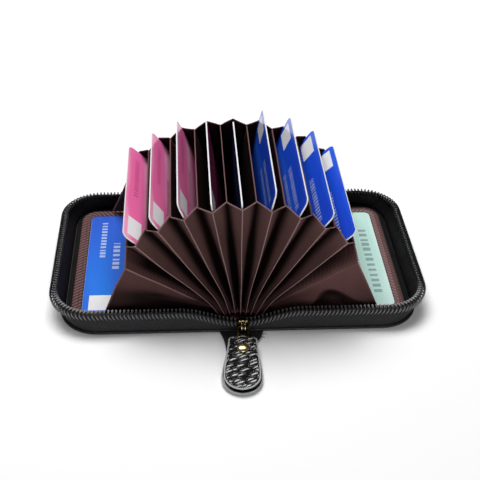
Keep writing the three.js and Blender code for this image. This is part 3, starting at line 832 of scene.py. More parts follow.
# Sections of the two borders: across and height
FLAT_STRIP = np.array([
    (2.45, 2.3), (2.5, 2.9), (2.3, 3.25), (1.6, 3.42), (0.6, 3.5), (-0.2, 3.46), (-0.7, 3.3), (-1.2, 3.46),
    (-1.9, 3.5), (-2.35, 3.3), (-2.45, 2.9), (-2.4, 2.3),
])
PIPED_STRIP = np.array([
    (2.45, 2.3), (2.5, 2.8), (2.2, 3.1), (1.2, 3.2), (0.5, 3.1), (0.25, 3.0), (-0.1, 3.4), (-0.6, 3.62),
    (-1.05, 3.4), (-1.25, 3.0), (-1.45, 3.4), (-1.9, 3.62), (-2.3, 3.4), (-2.45, 2.9), (-2.4, 2.3),
])
PIPING = (6, 12)
RIB_PITCH = 2.5


def make_border(word, side):
    """A strip along three sides, crowned and ribbed, with a row of stitches."""
    line = border_line(0.0)
    length = run_of(line)[-1]
    line = points_at(line, np.linspace(0, length, int(length / 0.4)))
    mirror = np.array([side, 1.0])
    outward = -left_of(unit(np.gradient(line, axis=0))) * mirror
    section, offset, height = (FLAT_STRIP, -0.7, 3.3) if side < 0 else (PIPED_STRIP, 1.55, 3.14)
    size = len(section)
    flat = (line * mirror)[:, None] + outward[:, None] * section[:, :1]
    v = np.concatenate([flat, np.broadcast_to(section[:, 1:], flat.shape[:2] + (1,))], axis=2).reshape(-1, 3)
    u = np.stack([np.repeat(run_of(line), size), np.tile(section[:, 0], len(line))], axis=1)
    rib = np.cos(2 * math.pi * (u[:, 0] + 0.7 * u[:, 1]) / RIB_PITCH)
    crown = smoothstep(2.95, 3.3, v[:, 2])
    v[:, 2] += 0.12 * rib * crown
    # Painted highlight on the rib crests and painted shade in the troughs between them.
    edge = np.where(rib > 0, 0.5, 0.75) * rib * crown
    faces = loft_faces(len(line), size)
    piped = (np.arange(size) >= PIPING[0]) & (np.arange(size) <= PIPING[1]) & (side > 0)
    kind = np.append(np.tile(piped, len(line) - 1), [0, 0]).astype(int)
    part = v, faces if side < 0 else turned(faces), u, edge, kind
    strip = make_object(f"{word}_pocket_border", part, [border_cloth, piping_cloth], (0, 1))
    row = border_line(offset)
    path = np.column_stack([row * mirror, np.full(len(row), height)])
    part = stitch_row(path, np.array([0, 0, 1.0]), length=1.5, pitch=2.3, radius=0.26)
    return strip, make_object(f"{word}_border_stitches", part, [black_thread])


CARD_LEVELS = [(-0.5, 0.1), (-0.42, 0.02), (-0.32, 0.0), (0.32, 0.0), (0.42, 0.02), (0.5, 0.1)]
WINDOW_CARD_Z = 2.98


def make_card(name, place, print_material, top):
    """A card in its own flat coordinates, length first and then width up to top, put in place."""
    low = top - CARD_WIDTH
    outline = rounded_outline(-CARD_LENGTH / 2, CARD_LENGTH / 2, low, top, CARD_CORNER)
    levels = [(h * CARD_THICK, inset) for h, inset in CARD_LEVELS]
    v, f, u, e, k = stack_parts(outline, levels, place)
    u = np.stack([u[:, 0], u[:, 1] - (low + top) / 2], axis=1)
    obj = make_object(name, (v, f, u, e, k), [print_material, card_core], (0, 0, 1))
    obj.data.polygons.foreach_set("use_smooth", [len(p.vertices) <= 4 for p in obj.data.polygons])
    return obj


for word, side in SIDES:
    cover = f"{word}_cover"
    floor = finish_piece(make_floor(word, side), cover, [f"{word}_cover_lining"])
    strip, stitches = make_border(word, side)
    finish_piece(strip, cover, [f"{word}_window_border"])
    finish_piece(stitches, cover)
    clear = finish_piece(make_film(word, side), cover, [f"{word}_window_film"])

    def lie(ring, height, side=side):
        return np.stack([side * ring[:, 1], ring[:, 0], WINDOW_CARD_Z - side * height], axis=1)

    card = make_card(f"{word}_pocket_card", lie, azure_card if side < 0 else mint_card, WINDOW_REACH)
    finish_piece(card, f"{word}_window_card", [f"{word}_window_card"])


# The fan: places are counted from the middle pocket
MIDDLE = 5
FOLD_SOFT = 0.022
FOLD_GAP = 0.35
PLEAT_THICK = 0.3
FLOOR_THICK = 0.35
FLOOR_HALF = 46.9
ROOT_FADE = 9.5


def spoke_axes(place):
    angle = place * PITCH
    origin = np.array([place * ROOT_PITCH, 0.0, ROOT_Z])
    outwards = np.array([math.sin(angle), 0.0, math.cos(angle)])
    across = np.array([math.cos(angle), 0.0, -math.sin(angle)])
    return origin, outwards, across


def on_spoke(place, radius, sideways, y):
    origin, outwards, across = spoke_axes(place)
    points = origin + radius[..., None] * outwards + sideways[..., None] * across
    points[..., 1] = y
    return points


def half_room(place, radius):
    return ROOT_PITCH / 2 * math.cos(place * PITCH) + radius * math.sin(PITCH / 2)


def root_spread(place, radius):
    """The folds stand a little wider apart at their roots than the dividers behind them."""
    return 0.8 * place * bell(radius, ROOT_FADE)


FOLD_COLUMNS = [-0.045, -0.025, -0.012, 0.012, 0.025, 0.045, -0.985, 0.985]
PLEAT_COLUMNS = np.sort(np.concatenate([np.linspace(-1, 1, 23), FOLD_COLUMNS]))


def pleat_fold(number, sign, columns):
    """One folded end of a pocket: s runs from one divider over the fold to the next, r up the fan."""
    place = number - MIDDLE
    r, s = grid(np.concatenate([np.linspace(1.0, 60.4, 40), [61.0, 61.5, 61.8, 62.0]]), columns)
    room = half_room(place, r)
    soft_end = math.sqrt(1 + FOLD_SOFT**2)
    depth = np.sqrt(PLEAT_STRIP**2 - room**2)
    out = depth * (soft_end - np.sqrt(s**2 + FOLD_SOFT**2)) / (soft_end - FOLD_SOFT)
    seed = number * 10 + (sign > 0)
    lean = np.random.default_rng(seed).uniform(-0.7, 0.5, 2)
    bulge = 0.55 * np.sin(math.pi * np.abs(s)) * (r / FAN_RADIUS)
    sag = 0.14 * soft_noise(r, s * 9, seed, 22.0) * (r / FAN_RADIUS) * (1 - np.abs(s) ** 6)
    out = out + bulge * np.where(s < 0, lean[0], lean[1]) + sag + 0.32 * bell(s, 0.03)
    wave = 0.25 * soft_noise(r, np.full_like(r, number * 5.0), seed + 3, 45.0)
    wave = wave * (1 - s**2) * smoothstep(5, 30, r)
    side_way = s * (room + 0.02) + wave + root_spread(place + s / 2, r) * smoothstep(5.2, 8.4, out)
    points = on_spoke(place, r, side_way, sign * (DIVIDER_HALF + FOLD_GAP + out))
    uv = np.stack([s * PLEAT_STRIP + 40 * number, r], axis=2)
    # Edge values: a painted highlight along the fold's crest and the top rim; painted shade in the valleys,
    # stronger on the panel turned outward from the middle pocket and low down the fan, with less of it higher
    # up.
    rim = smoothstep(61.2, 61.9, r)
    ridge_highlight = bell(s, FOLD_SOFT) * (0.42 + 0.2 * smoothstep(10, 50, r))
    open_up = smoothstep(15, 58, r)
    shaded_side = np.where(s * place > 0, 0.28, 0.0)
    first = np.maximum(0.04 + 0.42 * open_up - shaded_side, 0.03)
    last = 0.5 + 0.5 * open_up - shaded_side
    root_shade = 0.45 * (1 - smoothstep(8, 34, r))
    valley_shade = np.maximum(0.97 * smoothstep(first, last, np.abs(s)), root_shade) * (1 - rim)
    edge = np.where(rim + ridge_highlight > 0.03, np.clip(np.maximum(rim * 0.5, ridge_highlight), 0, 1), -valley_shade)
    return [values[:, ::-sign] for values in (points, uv, edge)]


def pleat_floor(number, columns):
    """The pocket's bottom: a shallow trough between two dividers."""
    place = number - MIDDLE
    across = np.linspace(-1, 1, 9)
    across = across[(across >= columns.min() - 0.001) & (across <= columns.max() + 0.001)]
    y, t = grid(np.linspace(-FLOOR_HALF, FLOOR_HALF, 40), across)
    sideways = t * (half_room(place, 0.0) - 0.12)
    return on_spoke(place, 1.3 + 0.55 * t**2, sideways, y), np.stack([sideways, y], axis=2)


def make_pleat(number, columns, name):
    parts = []
    for sign in (-1, 1):
        points, uv, edge = pleat_fold(number, sign, columns)
        parts.append(sheet_parts(points, PLEAT_THICK, uv, edge))
    points, uv = pleat_floor(number, columns)
    parts.append(sheet_parts(points, FLOOR_THICK, uv, np.zeros(points.shape[:2])))
    # The inner faces take the brown with painted shade.
    return make_object(name, joined(parts), [brown, brown_shaded], (0, 1, 0))


for number in range(1, POCKETS + 1):
    place = number - MIDDLE
    origin, outwards, across = spoke_axes(place)
    joint = "left_cover_fold" if place < 0 else "right_cover_fold"
    halves = [(PLEAT_COLUMNS, f"pocket_{number}_pleats", joint)]
    if place == 0:
        halves = [
            (PLEAT_COLUMNS[PLEAT_COLUMNS <= 0.001], "pocket_5_pleats_left", "left_cover_fold"),
            (PLEAT_COLUMNS[PLEAT_COLUMNS >= -0.001], "pocket_5_pleats_right", "right_cover_fold"),
        ]
    for columns, name, joint in halves:
        pleat = make_pleat(number, columns, name)
        body = "spine" if place == 0 else f"pocket_{number}"
        finish_piece(pleat, body, [f"pleat_{number}"])
        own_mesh(pleat)


def make_divider(number):
    radius = np.concatenate([np.linspace(2.2, 59.0, 30), [59.6, 60.2, 60.9, 61.5, FAN_RADIUS]])
    ends = [36.6, 37.3, DIVIDER_HALF]
    length = np.concatenate([-np.array(ends[::-1]), np.linspace(-35.5, 35.5, 44), ends])
    r, y = grid(radius, length)
    inside = smoothstep(5, 25, r) * (1 - (y / DIVIDER_HALF) ** 4)
    points = on_spoke(number - MIDDLE - 0.5, r, 0.12 * inside * soft_noise(r, y, 60 + number, 30.0), y)
    # Painted highlight along the top edge and the ends.
    edge = np.maximum(smoothstep(61.2, 61.8, r), smoothstep(36.9, 37.5, np.abs(y))) * 0.6
    hem = 0.34 + 0.14 * smoothstep(59.0, 59.8, r)
    return sheet_object(f"divider_{number}_fabric", points, hem, np.stack([y, r], axis=2), brown_shaded, edge)


for number in range(1, POCKETS + 2):
    divider = make_divider(number)
    finish_piece(divider, f"divider_{number}", [f"divider_{number}"])

CARD_PRINTS = [rose_card] * 3 + [plum_card, night_card] + [blue_card] * 4
for number in range(1, POCKETS + 1):
    face = 1.0 if number <= MIDDLE else -1.0

    def stand(ring, height, place=number - MIDDLE, face=face):
        return on_spoke(place, ring[:, 1], face * height, face * ring[:, 0])

    card = make_card(f"pocket_card_{number}", stand, CARD_PRINTS[number - 1], CARD_REACH[number - 1])
    finish_piece(card, f"card_{number}", [f"card_{number}"])


# Outer gussets, from the outermost dividers down to the covers
GUSSET_LEAN = 4.5 * PITCH
GUSSET_FOLD = 0.3
GUSSET_TURN = math.radians(59.3)
GUSSET_FOOT = 4.3
GUSSET_COLUMNS = np.sort(np.concatenate([np.linspace(0, 1, 61), [0.284, 0.291, 0.296, 0.304, 0.309, 0.316]]))


def make_gusset(word, side, end, sign):
    """Cloth with one fold: s runs from the divider over the fold to the cover, r up the fan."""
    pivot = side * 4.5 * ROOT_PITCH
    crisp = side < 0
    r, s = grid(np.concatenate([np.linspace(9.0, 60.0, 54), [60.8, 61.4, 62.0]]), GUSSET_COLUMNS)
    fold_reach = r * (58.2 if crisp else 59.2) / FAN_RADIUS
    foot_reach = r * (61.6 if crisp else 63.4) / FAN_RADIUS
    top_x = r * math.sin(GUSSET_LEAN) + 3.6 * bell(r, ROOT_FADE)
    top_z = ROOT_Z + r * math.cos(GUSSET_LEAN)
    fold_x = fold_reach * math.sin(GUSSET_TURN)
    fold_z = ROOT_Z + fold_reach * math.cos(GUSSET_TURN)
    foot_z = GUSSET_FOOT + 0.008 * r
    w = np.clip(s / GUSSET_FOLD, 0, 1)
    u = np.clip((s - GUSSET_FOLD) / (1 - GUSSET_FOLD), 0, 1)
    upper = s < GUSSET_FOLD
    x = pivot + side * np.where(upper, top_x + (fold_x - top_x) * w, fold_x + (foot_reach - fold_x) * u)
    z = np.where(upper, top_z + (fold_z - top_z) * w, fold_z + (foot_z - fold_z) * u)
    grow = smoothstep(6, 34, r) * s * (1 - s) * 4
    if crisp:
        hollow = bell(s - 0.72, 0.13) * bell(r - 38, 16)
        out = np.interp(s, [0.0, GUSSET_FOLD, 0.62, 1.0], [0.0, 8.0, 5.8, 8.8])
        out = out - 3.0 * hollow + 0.6 * soft_noise(r, s * 26, 91 + sign, 26.0) * grow
        # Painted shade in the hollow and over the lower cloth, with some everywhere.
        dark = np.maximum(0.9 * smoothstep(0.5, 0.76, s) * (1 - 0.3 * smoothstep(46, 60, r)), 0.9 * hollow)
        dark = np.maximum(dark, 0.22)
        valley_shade = 0.97 * smoothstep(0.29, 0.12, s)
    else:
        gap = u - 0.92 + 0.62 * bell(r - 41, 10.5)
        reach = smoothstep(14, 30, r) * (1 - smoothstep(57, 62, r)) * (1 - smoothstep(0.8, 0.98, u))
        hollow = smoothstep(-0.06, 0.34, gap) * (1 - smoothstep(0.36, 0.74, gap)) * reach
        lower = 8.0 - 2.0 * np.sin(math.pi * u) ** 1.5 + 0.8 * u
        out = np.where(upper, 8.0 * np.sin(w * QUARTER) ** 0.9, lower)
        out = out + 1.2 * bell(gap, 0.16) * reach - 2.8 * hollow
        out = out + 0.5 * soft_noise(r, s * 26, 95 + sign, 22.0) * grow
        # Painted shade in the hollow and towards the foot at the cover.
        dark = np.maximum(0.9 * hollow, 0.45 * smoothstep(0.75, 1.0, s))
        valley_shade = 0.97 * 0.8 * smoothstep(0.24, 0.04, s)
    points = np.stack([x, sign * (DIVIDER_HALF + FOLD_GAP + out), z], axis=2)
    uv = np.stack([side * (x - pivot) + 400, z + 0.5 * out], axis=2)
    # Painted shade in the crease by the divider and low down the fan, fading near the top; painted highlight
    # along the fold's crest and the top rim.
    valley_shade = valley_shade * (1 - 0.55 * smoothstep(48, 61, r))
    root_shade = 0.6 * (1 - smoothstep(12, 36, r))
    ridge_highlight = bell(s - GUSSET_FOLD, 0.008) * (0.4 if crisp else 0.1) * smoothstep(16, 28, r)
    rim = 0.4 * smoothstep(61.2, 61.9, r)
    edge = np.where(ridge_highlight + rim > 0.05, np.maximum(ridge_highlight, rim), -np.maximum(np.maximum(valley_shade, root_shade), dark))
    points, uv, edge = (values[:, :: side * sign] for values in (points, uv, edge))
    obj = sheet_object(f"{word}_{end}_gusset_cloth", points, 0.42, uv, gusset_cloth, edge)
    finish_piece(obj, f"{word}_cover", [f"{word}_{end}_gusset"])
    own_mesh(obj)


for word, side in SIDES:
    for end, sign in (("front", -1), ("rear", 1)):
        make_gusset(word, side, end, sign)


# Spine lining with its dark red ribbon hem, and the tape tongue under the tab
def make_spine_lining():
    y, x = grid(np.linspace(-54.6, 54.6, 91), np.linspace(-9.6, 9.6, 21))
    z = 1.86 + 0.08 * soft_noise(x, y, 8, 20.0)
    uv = np.stack([x, y], axis=2)
    return sheet_object("spine_lining_cloth", np.stack([x, y, z], axis=2), 0.36, uv, brown_shaded)


def make_ribbon():
    section_y = np.array([-50.9, -51.3, -51.35, -51.0, -50.4, -49.9, -49.6, -49.5])
    section_z = np.array([2.2, 2.9, 3.6, 4.2, 4.35, 4.1, 3.4, 2.3])
    x, i = grid(np.linspace(-5.2, 6.3, 34), np.arange(len(section_y)))
    sag = 0.13 * x + 0.05 * np.sin(x * 0.8)
    points = np.stack([x, section_y[i], section_z[i] - sag * (section_z[i] - 2.0) / 2.3], axis=2)
    # Painted highlight along the top of the roll.
    edge = 0.8 * bell(i - 3.5, 1.2)
    return sheet_object("spine_ribbon_hem", points, 0.3, np.stack([x, 0.6 * i], axis=2), red_ribbon, edge)


def make_tongue():
    t, s = grid(np.linspace(0, 1, 34), np.linspace(-1, 1, 41))
    half = 11.0 - 2.4 * (1 - (1 - t) ** 2) - 2.6 * smoothstep(0.3, 1.0, s) * smoothstep(0.45, 1.0, t)
    x = s * half + 0.5 * t
    y = -57.5 - (14.6 - 4.4 * smoothstep(0.1, 1.0, s)) * t - 0.5 * np.abs(s) * t
    curl = 0.9 * np.abs(s) ** 3 * np.sin(math.pi * np.clip(t * 0.9 + 0.1, 0, 1))
    z = 0.55 + curl + 0.12 * soft_noise(x, y, 21, 9.0)
    points = np.stack([x, y, z], axis=2)
    return sheet_object("zip_end_tongue_cloth", points[::-1], 0.8, points[::-1, :, :2], tongue_cloth)


# Start, bend and end of each loose thread at the tape's cut corner
LOOSE_THREADS = np.array([
    ((9.2, -60.2, 0.9), (11.2, -61.4, 1.8), (12.6, -60.9, 1.2)),
    ((9.0, -61.8, 0.8), (10.4, -63.2, 1.2), (11.2, -62.9, 0.5)),
])


def make_threads():
    parts = []
    t = np.linspace(0, 1, 9)[:, None]
    for start, bend, end in LOOSE_THREADS:
        path = (1 - t) ** 2 * start + 2 * t * (1 - t) * bend + t**2 * end
        parts.append(tube_parts(path, np.linspace(0.2, 0.08, 9)))
    return make_object("zip_end_threads", joined(parts), [black_thread])


lining = make_spine_lining()
finish_piece(lining, "spine", ["spine_lining"])
ribbon = make_ribbon()
finish_piece(ribbon, "spine")
finish_piece(make_threads(), "spine")
tongue = make_tongue()
finish_piece(tongue, "spine", ["zip_end_tongue"])

# Zip slider, ring, leather tab and rivet
SLIDER_LOW = 2.5
SLIDER_TOP = 8.1
SLIDER_FRONT = -56.3
SLIDER_BACK = -52.1
PLATE = 1.1
PULL_SHIFT = 0.7


def plate_outline():
    rise = SLIDER_TOP - 1.5 - SLIDER_LOW
    flank = [(2.3 + 0.7 * t, SLIDER_LOW + 0.3 + rise * t) for t in np.linspace(0, 1, 9)[1:-1]]
    points = [(-2.3 + 4.6 * t, SLIDER_LOW + 0.3 * (2 * t - 1) ** 2) for t in np.linspace(0, 1, 9)]
    points += flank
    points += [(3.0 * math.cos(a), SLIDER_TOP - 1.2 + 1.2 * math.sin(a)) for a in np.linspace(0, math.pi, 15)]
    points += [(-x, z) for x, z in flank[::-1]]
    return np.array(points)


def flat_bar(half, low_z, high_z, front, back, radius):
    """Rounded bar standing across the slider, seen from the front."""
    outline = rounded_outline(-half, half, low_z, high_z, radius, 4)
    depth = back - front
    levels = [(0.0, 0.16), (0.12, 0.04), (0.3, 0.0), (depth - 0.3, 0.0), (depth - 0.1, 0.05), (depth, 0.16)]
    return stack_parts(outline, levels, lambda ring, h: np.stack([ring[:, 0], back - h, ring[:, 1]], axis=1))


# The bridge's section is across and up, its line is y and z, and its sunk middle carries a painted dark
# reflection
BRIDGE_SECTION = np.array([
    (-1.0, -0.45), (1.0, -0.45), (1.12, -0.3), (1.12, 0.4), (1.02, 0.52), (0.74, 0.54), (0.62, 0.44),
    (0.52, 0.02), (-0.52, 0.02), (-0.62, 0.44), (-0.74, 0.54), (-1.02, 0.52), (-1.12, 0.4), (-1.12, -0.3),
])
BRIDGE_LINE = np.array([
    (-56.9, 6.95), (-58.0, 7.0), (-59.3, 6.75), (-60.4, 6.1), (-61.1, 5.1), (-61.3, 4.1),
    (-60.9, 3.2), (-60.0, 2.75), (-58.6, 2.6), (-56.9, 2.6),
])
BRIDGE_SUNK = (6, 8)


def bridge_parts():
    """The arch in front of the plate: a band with two raised edges and a sunk middle."""
    knots = np.arange(len(BRIDGE_LINE))
    at = np.linspace(0, knots[-1], 55)
    path = np.stack([np.interp(at, knots, column) for column in BRIDGE_LINE.T], axis=1)
    for _ in range(6):
        path[1:-1] = (path[:-2] + 2 * path[1:-1] + path[2:]) / 4
    normal = -left_of(unit(np.gradient(path, axis=0)))
    rise = BRIDGE_SECTION[:, 1]
    rings = [
        np.stack([BRIDGE_SECTION[:, 0], y + rise * ny, z + rise * nz], axis=1)
        for (y, z), (ny, nz) in zip(path, normal)
    ]
    k = np.arange(len(rise))
    sunk = (k >= BRIDGE_SUNK[0]) & (k <= BRIDGE_SUNK[1])
    kind = np.append(np.tile(sunk, len(path) - 1), [0, 0]).astype(int)
    vertices = np.concatenate(rings)
    count = len(vertices)
    return vertices, loft_faces(len(path), len(k)), np.zeros((count, 2)), np.zeros(count), kind


def make_slider():
    outline = plate_outline()
    levels = [(0.0, 0.35), (0.12, 0.12), (0.3, 0.0), (0.8, 0.0), (0.98, 0.12), (PLATE, 0.35)]
    # The plates and the middle bar take the brass with a painted dark reflection, the bars in front the plain
    # brass.
    dark = []
    for y, share in ((SLIDER_FRONT, 0.7), (SLIDER_BACK + PLATE, 0.4)):
        def stand(ring, h, y=y, share=share):
            return np.stack([ring[:, 0], y - h, SLIDER_LOW + (ring[:, 1] - SLIDER_LOW) * share], axis=1)

        dark.append(stack_parts(outline, levels, stand))
    low, high = SLIDER_LOW + 0.9, SLIDER_LOW + 2.0
    dark.append(flat_bar(0.95, low, high, SLIDER_FRONT - 0.5, SLIDER_BACK + 0.5, 0.45))
    front, back = SLIDER_FRONT - PLATE, SLIDER_FRONT - 0.4
    bright = [
        flat_bar(2.3, 6.35, 7.25, front - 0.25, back, 0.42),
        flat_bar(2.1, SLIDER_LOW + 0.05, SLIDER_LOW + 0.7, front - 0.4, back, 0.3),
    ]
    parts = [(*part[:4], np.ones(len(part[1]), int)) for part in dark]
    parts += [(*part[:4], np.zeros(len(part[1]), int)) for part in bright]
    vertices, *rest = joined(parts + [bridge_parts()])
    moved = vertices + (PULL_SHIFT, 0.0, 0.0)
    return make_object("zip_slider_body", (moved, *rest), [brass, brass_dark_reflection], (0, 1))


finish_piece(make_slider(), "spine", ["zip_slider"])

YAW = math.radians(-4)
RING_SLOPE = math.radians(8)
TAB_SLOPE = math.radians(2.6)
PULL_AT = np.array([PULL_SHIFT, -58.325, 5.3])
RING_LENGTH = 8.4
TAB_LENGTH = 35.0
TAB_RADIUS = 8.4
TAB_NECK = 6.7
TAB_THICK = 1.1
TAB_GROW = 1.0
RIVET_PLACE = 9.4


def pull_place(points):
    """From the pull's own axes, with -Y along the ring, to the part's frame."""
    x, y, z = points[..., 0], points[..., 1], points[..., 2]
    cosine, sine = math.cos(YAW), math.sin(YAW)
    return PULL_AT + np.stack([x * cosine - y * sine, x * sine + y * cosine, z], axis=-1)


def tab_place(points):
    x, y, z = points[..., 0], points[..., 1], points[..., 2]
    cosine, sine = math.cos(TAB_SLOPE), math.sin(TAB_SLOPE)
    start = RING_LENGTH * np.array([0.0, -math.cos(RING_SLOPE), -math.sin(RING_SLOPE)])
    return pull_place(np.stack([x, y * cosine - z * sine, y * sine + z * cosine], axis=-1) + start)


def make_ring():
    outline = rounded_outline(-2.6, 2.6, 0.0, RING_LENGTH, 1.6, 8)
    hang = np.clip(1 - outline[:, 1] / RING_LENGTH, 0, 1)
    cosine, sine = math.cos(RING_SLOPE), math.sin(RING_SLOPE)
    y = -outline[:, 1] * cosine - 0.3 * hang
    z = -outline[:, 1] * sine - 1.2 * hang
    v, *rest = tube_parts(np.stack([outline[:, 0], y, z], axis=1), 0.55, 12, True, (0.0, -sine, cosine))
    return make_object("pull_ring_wire", (pull_place(v), *rest), [shaded_ring_brass])


finish_piece(make_ring(), "pull_ring", ["pull_ring"])


def tab_half(d, grow):
    """Half the tab's width at a distance from its top."""
    radius = TAB_RADIUS + grow
    shoulder = TAB_NECK * np.sqrt(np.clip(1 - np.clip((2.8 - d) / 1.7, 0, 1) ** 2, 0, 1))
    body = TAB_NECK + (radius - TAB_NECK) * smoothstep(1.0, 26.0, d)
    tip = np.sqrt(np.maximum(radius**2 - np.clip(d - (TAB_LENGTH - 8.6), 0, radius) ** 2, 0.0))
    return np.where(d < 2.8, np.maximum(shoulder, 1.5), np.minimum(body, tip))


def tab_bow(d, upper):
    """The layers close up towards the tab's end."""
    return smoothstep(11, 26, d) * (-0.55 if upper else 0.1)


def tab_layer(upper, grow, grain):
    last = TAB_LENGTH + grow
    neck = [1.12, 1.2, 1.35, 1.6, 1.9]
    tip = last - np.array([0.8, 0.5, 0.28, 0.12, 0.03, 0.0])
    flank = [0.94, 0.97, 0.99, 1]
    d, s = grid(
        np.concatenate([neck, np.linspace(2.3, last - 1.2, 190), tip]),
        np.concatenate([-np.array(flank[::-1]), np.linspace(-0.9, 0.9, 105), flank]),
    )
    half = np.maximum(tab_half(d, grow), 0.02)
    x = s * half
    inset = np.minimum(np.minimum(half * (1 - np.abs(s)), last - d), d - 1.1)
    near, second = cell_noise(x + 0.25 * soft_noise(x, d, 4, 5.0), d, 2.55, 17, 1.9, -0.45)
    pebble = 0.5 - (near / 0.62) ** 2 - 0.35 * (1 - smoothstep(0.0, 0.14, second - near))
    rise = grain * pebble * smoothstep(0.25, 1.1, inset)
    round_over = 0.42 * (1 - smoothstep(0.0, 0.75, inset)) ** 2
    bow = tab_bow(d, upper)
    if upper:
        top, low = 0.85 + TAB_THICK + rise - round_over + bow, 0.85 + 0.35 * round_over + bow
    else:
        top, low = -1.95 + TAB_THICK - 0.5 * round_over + bow, -1.95 + 0.6 * round_over - 0.4 * rise + bow
    vertices = np.concatenate([np.stack([x, -d, z], axis=2).reshape(-1, 3) for z in (top, low)])
    faces, kind = shell_faces(*x.shape)
    uv = vertices[:, :2] * (1, -1)
    return vertices, faces[:, ::-1], uv, np.zeros(len(vertices)), (kind == 2).astype(int)


def tab_bend():
    """The neck of the leather folded round the ring's far bar."""
    section = rounded_outline(0.78, 1.98, -1.6, 1.6, 0.3, 3)
    steps = [(-1.9, -QUARTER), (-0.6, -QUARTER)]
    steps += [(0.0, angle) for angle in np.linspace(-QUARTER, QUARTER, 22)]
    steps += [(-0.6, QUARTER), (-1.9, QUARTER)]
    out, across = section[:, 0], section[:, 1]
    rings = [np.stack([across, y + out * math.cos(a), out * math.sin(a)], axis=1) for y, a in steps]
    vertices = np.concatenate(rings)
    uv = np.stack([vertices[:, 0], vertices[:, 1] + vertices[:, 2]], axis=1)
    return plain_part(vertices, loft_faces(len(rings), len(section), inward=True), uv)


def tab_edge(upper, grow):
    """The pale cut edge of one leather layer."""
    tip = TAB_LENGTH + grow - 8.0 * (1 - np.sin(np.linspace(0.1, 1.56, 26)))
    d = np.concatenate([np.linspace(1.5, TAB_LENGTH - 8.0, 60), tip])
    inset, height = (0.1, 1.4) if upper else (0.04, -1.4)
    right = np.stack([tab_half(d, grow) - inset, -d, height + tab_bow(d, upper)], axis=1)
    left = right[::-1] * (-1.0, 1, 1)
    v, f, u, e, k = tube_parts(np.concatenate([right, left[1:]]), 0.46, 8)
    return v, f, u, e, k + 1


layers = [tab_layer(True, 0.0, 0.55), tab_layer(False, TAB_GROW, 0.45), tab_bend()]
vertices, *rest = joined(layers + [tab_edge(True, 0.0), tab_edge(False, TAB_GROW)])
tab = make_object("pull_tab_leather", (tab_place(vertices), *rest), [tab_leather, raw_edge], (0, 1))
finish_piece(tab, "pull_tab", ["pull_tab"])

# Radius and height of the rivet, from its lower end to its crown
RIVET_PROFILE = [
    (0.0, -2.75), (1.5, -2.72), (2.1, -2.6), (2.2, -2.4), (2.2, -2.1), (1.2, -2.05), (0.9, -1.9), (0.9, 1.9),
    (2.7, 2.0), (2.98, 2.12), (3.02, 2.35), (2.85, 2.75), (2.4, 3.1), (1.75, 3.36), (0.95, 3.5), (0.0, 3.55),
]
RIVET_TURNS = 40


def make_rivet():
    angle = np.arange(RIVET_TURNS) * 2 * math.pi / RIVET_TURNS
    vertices = [
        (radius * math.cos(a), -RIVET_PLACE + radius * math.sin(a), z)
        for radius, z in RIVET_PROFILE[1:-1] for a in angle
    ]
    count = len(vertices)
    rings = len(RIVET_PROFILE) - 2
    vertices += [(0.0, -RIVET_PLACE, RIVET_PROFILE[end][1]) for end in (0, -1)]
    i = np.arange(RIVET_TURNS)
    j = np.roll(i, -1)
    faces = loft_faces(rings, RIVET_TURNS)[:-2]
    faces.extend(np.stack([np.full(RIVET_TURNS, count), j, i], axis=1))
    top = (rings - 1) * RIVET_TURNS
    faces.extend(np.stack([top + i, top + j, np.full(RIVET_TURNS, count + 1)], axis=1))
    return make_object("tab_rivet_dome", plain_part(tab_place(np.array(vertices)), faces, None), [brass])


finish_piece(make_rivet(), "pull_tab", ["tab_rivet"])

# Floor, light and camera, in metres where not said otherwise
FLOOR_SIZE = 3.0
FLOOR_DROP = 0.0002
FLOOR_COLOR = (0.93, 0.93, 0.935)
FLOOR_LIFT = 0.03
WORLD_LIGHT = 0.06
WHITE = (1, 1, 1)


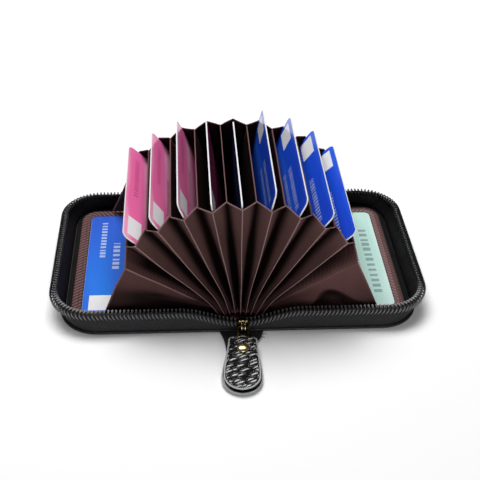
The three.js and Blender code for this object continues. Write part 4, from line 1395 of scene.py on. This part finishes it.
def make_floor_plane():
    mesh = bpy.data.meshes.new("studio_floor")
    corners = [(-1, -1), (1, -1), (1, 1), (-1, 1)]
    mesh.from_pydata([(x * FLOOR_SIZE, y * FLOOR_SIZE, -FLOOR_DROP) for x, y in corners], [], [(0, 1, 2, 3)])
    floor = bpy.data.objects.new("studio_floor", mesh)
    scene.collection.objects.link(floor)
    material = bpy.data.materials.new("studio_white")
    material.use_nodes = True
    material.node_tree.nodes.clear()
    nodes = Nodes(material.node_tree)
    out = nodes.add("ShaderNodeOutputMaterial")
    diffuse = nodes.add("ShaderNodeBsdfDiffuse", Color=(*FLOOR_COLOR, 1))
    lift = nodes.add("ShaderNodeEmission", Color=(*WHITE, 1))
    path = nodes.add("ShaderNodeLightPath").outputs
    seen = nodes.maths("MAXIMUM", path["Is Glossy Ray"], path["Is Transmission Ray"])
    seen = nodes.maths("MAXIMUM", path["Is Camera Ray"], seen)
    nodes.link(nodes.times(seen, FLOOR_LIFT), lift.inputs["Strength"])
    both = nodes.add("ShaderNodeAddShader")
    nodes.link(diffuse.outputs[0], both.inputs[0])
    nodes.link(lift.outputs[0], both.inputs[1])
    nodes.link(both.outputs[0], out.inputs["Surface"])
    mesh.materials.append(material)


def make_world():
    world = bpy.data.worlds.new("studio_world")
    scene.world = world
    world.use_nodes = True
    nodes = Nodes(world.node_tree)
    background = world.node_tree.nodes["Background"]
    nodes.link(WHITE, background.inputs["Color"])
    path = nodes.add("ShaderNodeLightPath").outputs
    seen = nodes.maths("MAXIMUM", path["Is Camera Ray"], path["Is Transmission Ray"])
    strength = nodes.plus(nodes.times(seen, 1.0 - WORLD_LIGHT), WORLD_LIGHT)
    nodes.link(strength, background.inputs["Strength"])


def area_light(name, place, target, size, power):
    data = bpy.data.lights.new(name, "AREA")
    data.shape = "RECTANGLE"
    data.size, data.size_y = size
    data.energy = power
    light = bpy.data.objects.new(name, data)
    light.location = place
    light.rotation_euler = (Vector(target) - Vector(place)).to_track_quat("-Z", "Y").to_euler()
    scene.collection.objects.link(light)


def make_camera():
    """The camera solved from the photo. Its place and target are in millimetres."""
    eye = Vector((-28.24, -429.19, 319.02)) * MM
    target = Vector((2.279, 0.0, 15.392)) * MM
    roll = math.radians(1.336)
    forward = (target - eye).normalized()
    right = forward.cross(Vector((0, 0, 1))).normalized()
    up = right.cross(forward)
    turned_right = right * math.cos(roll) + up * math.sin(roll)
    turned_up = up * math.cos(roll) - right * math.sin(roll)
    data = bpy.data.cameras.new("photo_camera")
    data.sensor_width = 36.0
    data.sensor_fit = "HORIZONTAL"
    data.lens = 73.63
    data.clip_start = 0.01
    camera = bpy.data.objects.new("photo_camera", data)
    matrix = Matrix((turned_right, turned_up, -forward)).transposed().to_4x4()
    matrix.translation = eye
    camera.matrix_world = matrix
    scene.collection.objects.link(camera)
    scene.camera = camera


make_floor_plane()
make_world()
area_light("key_behind", (-0.09, 0.4, 0.9), (0, 0, 0), (0.7, 0.5), 11.6)
area_light("front_fill", (0.05, -0.95, 0.3), (0, 0, 0.03), (0.45, 0.3), 3.7)
make_camera()
scene.view_settings.view_transform = "Standard"

bpy.context.view_layer.update()
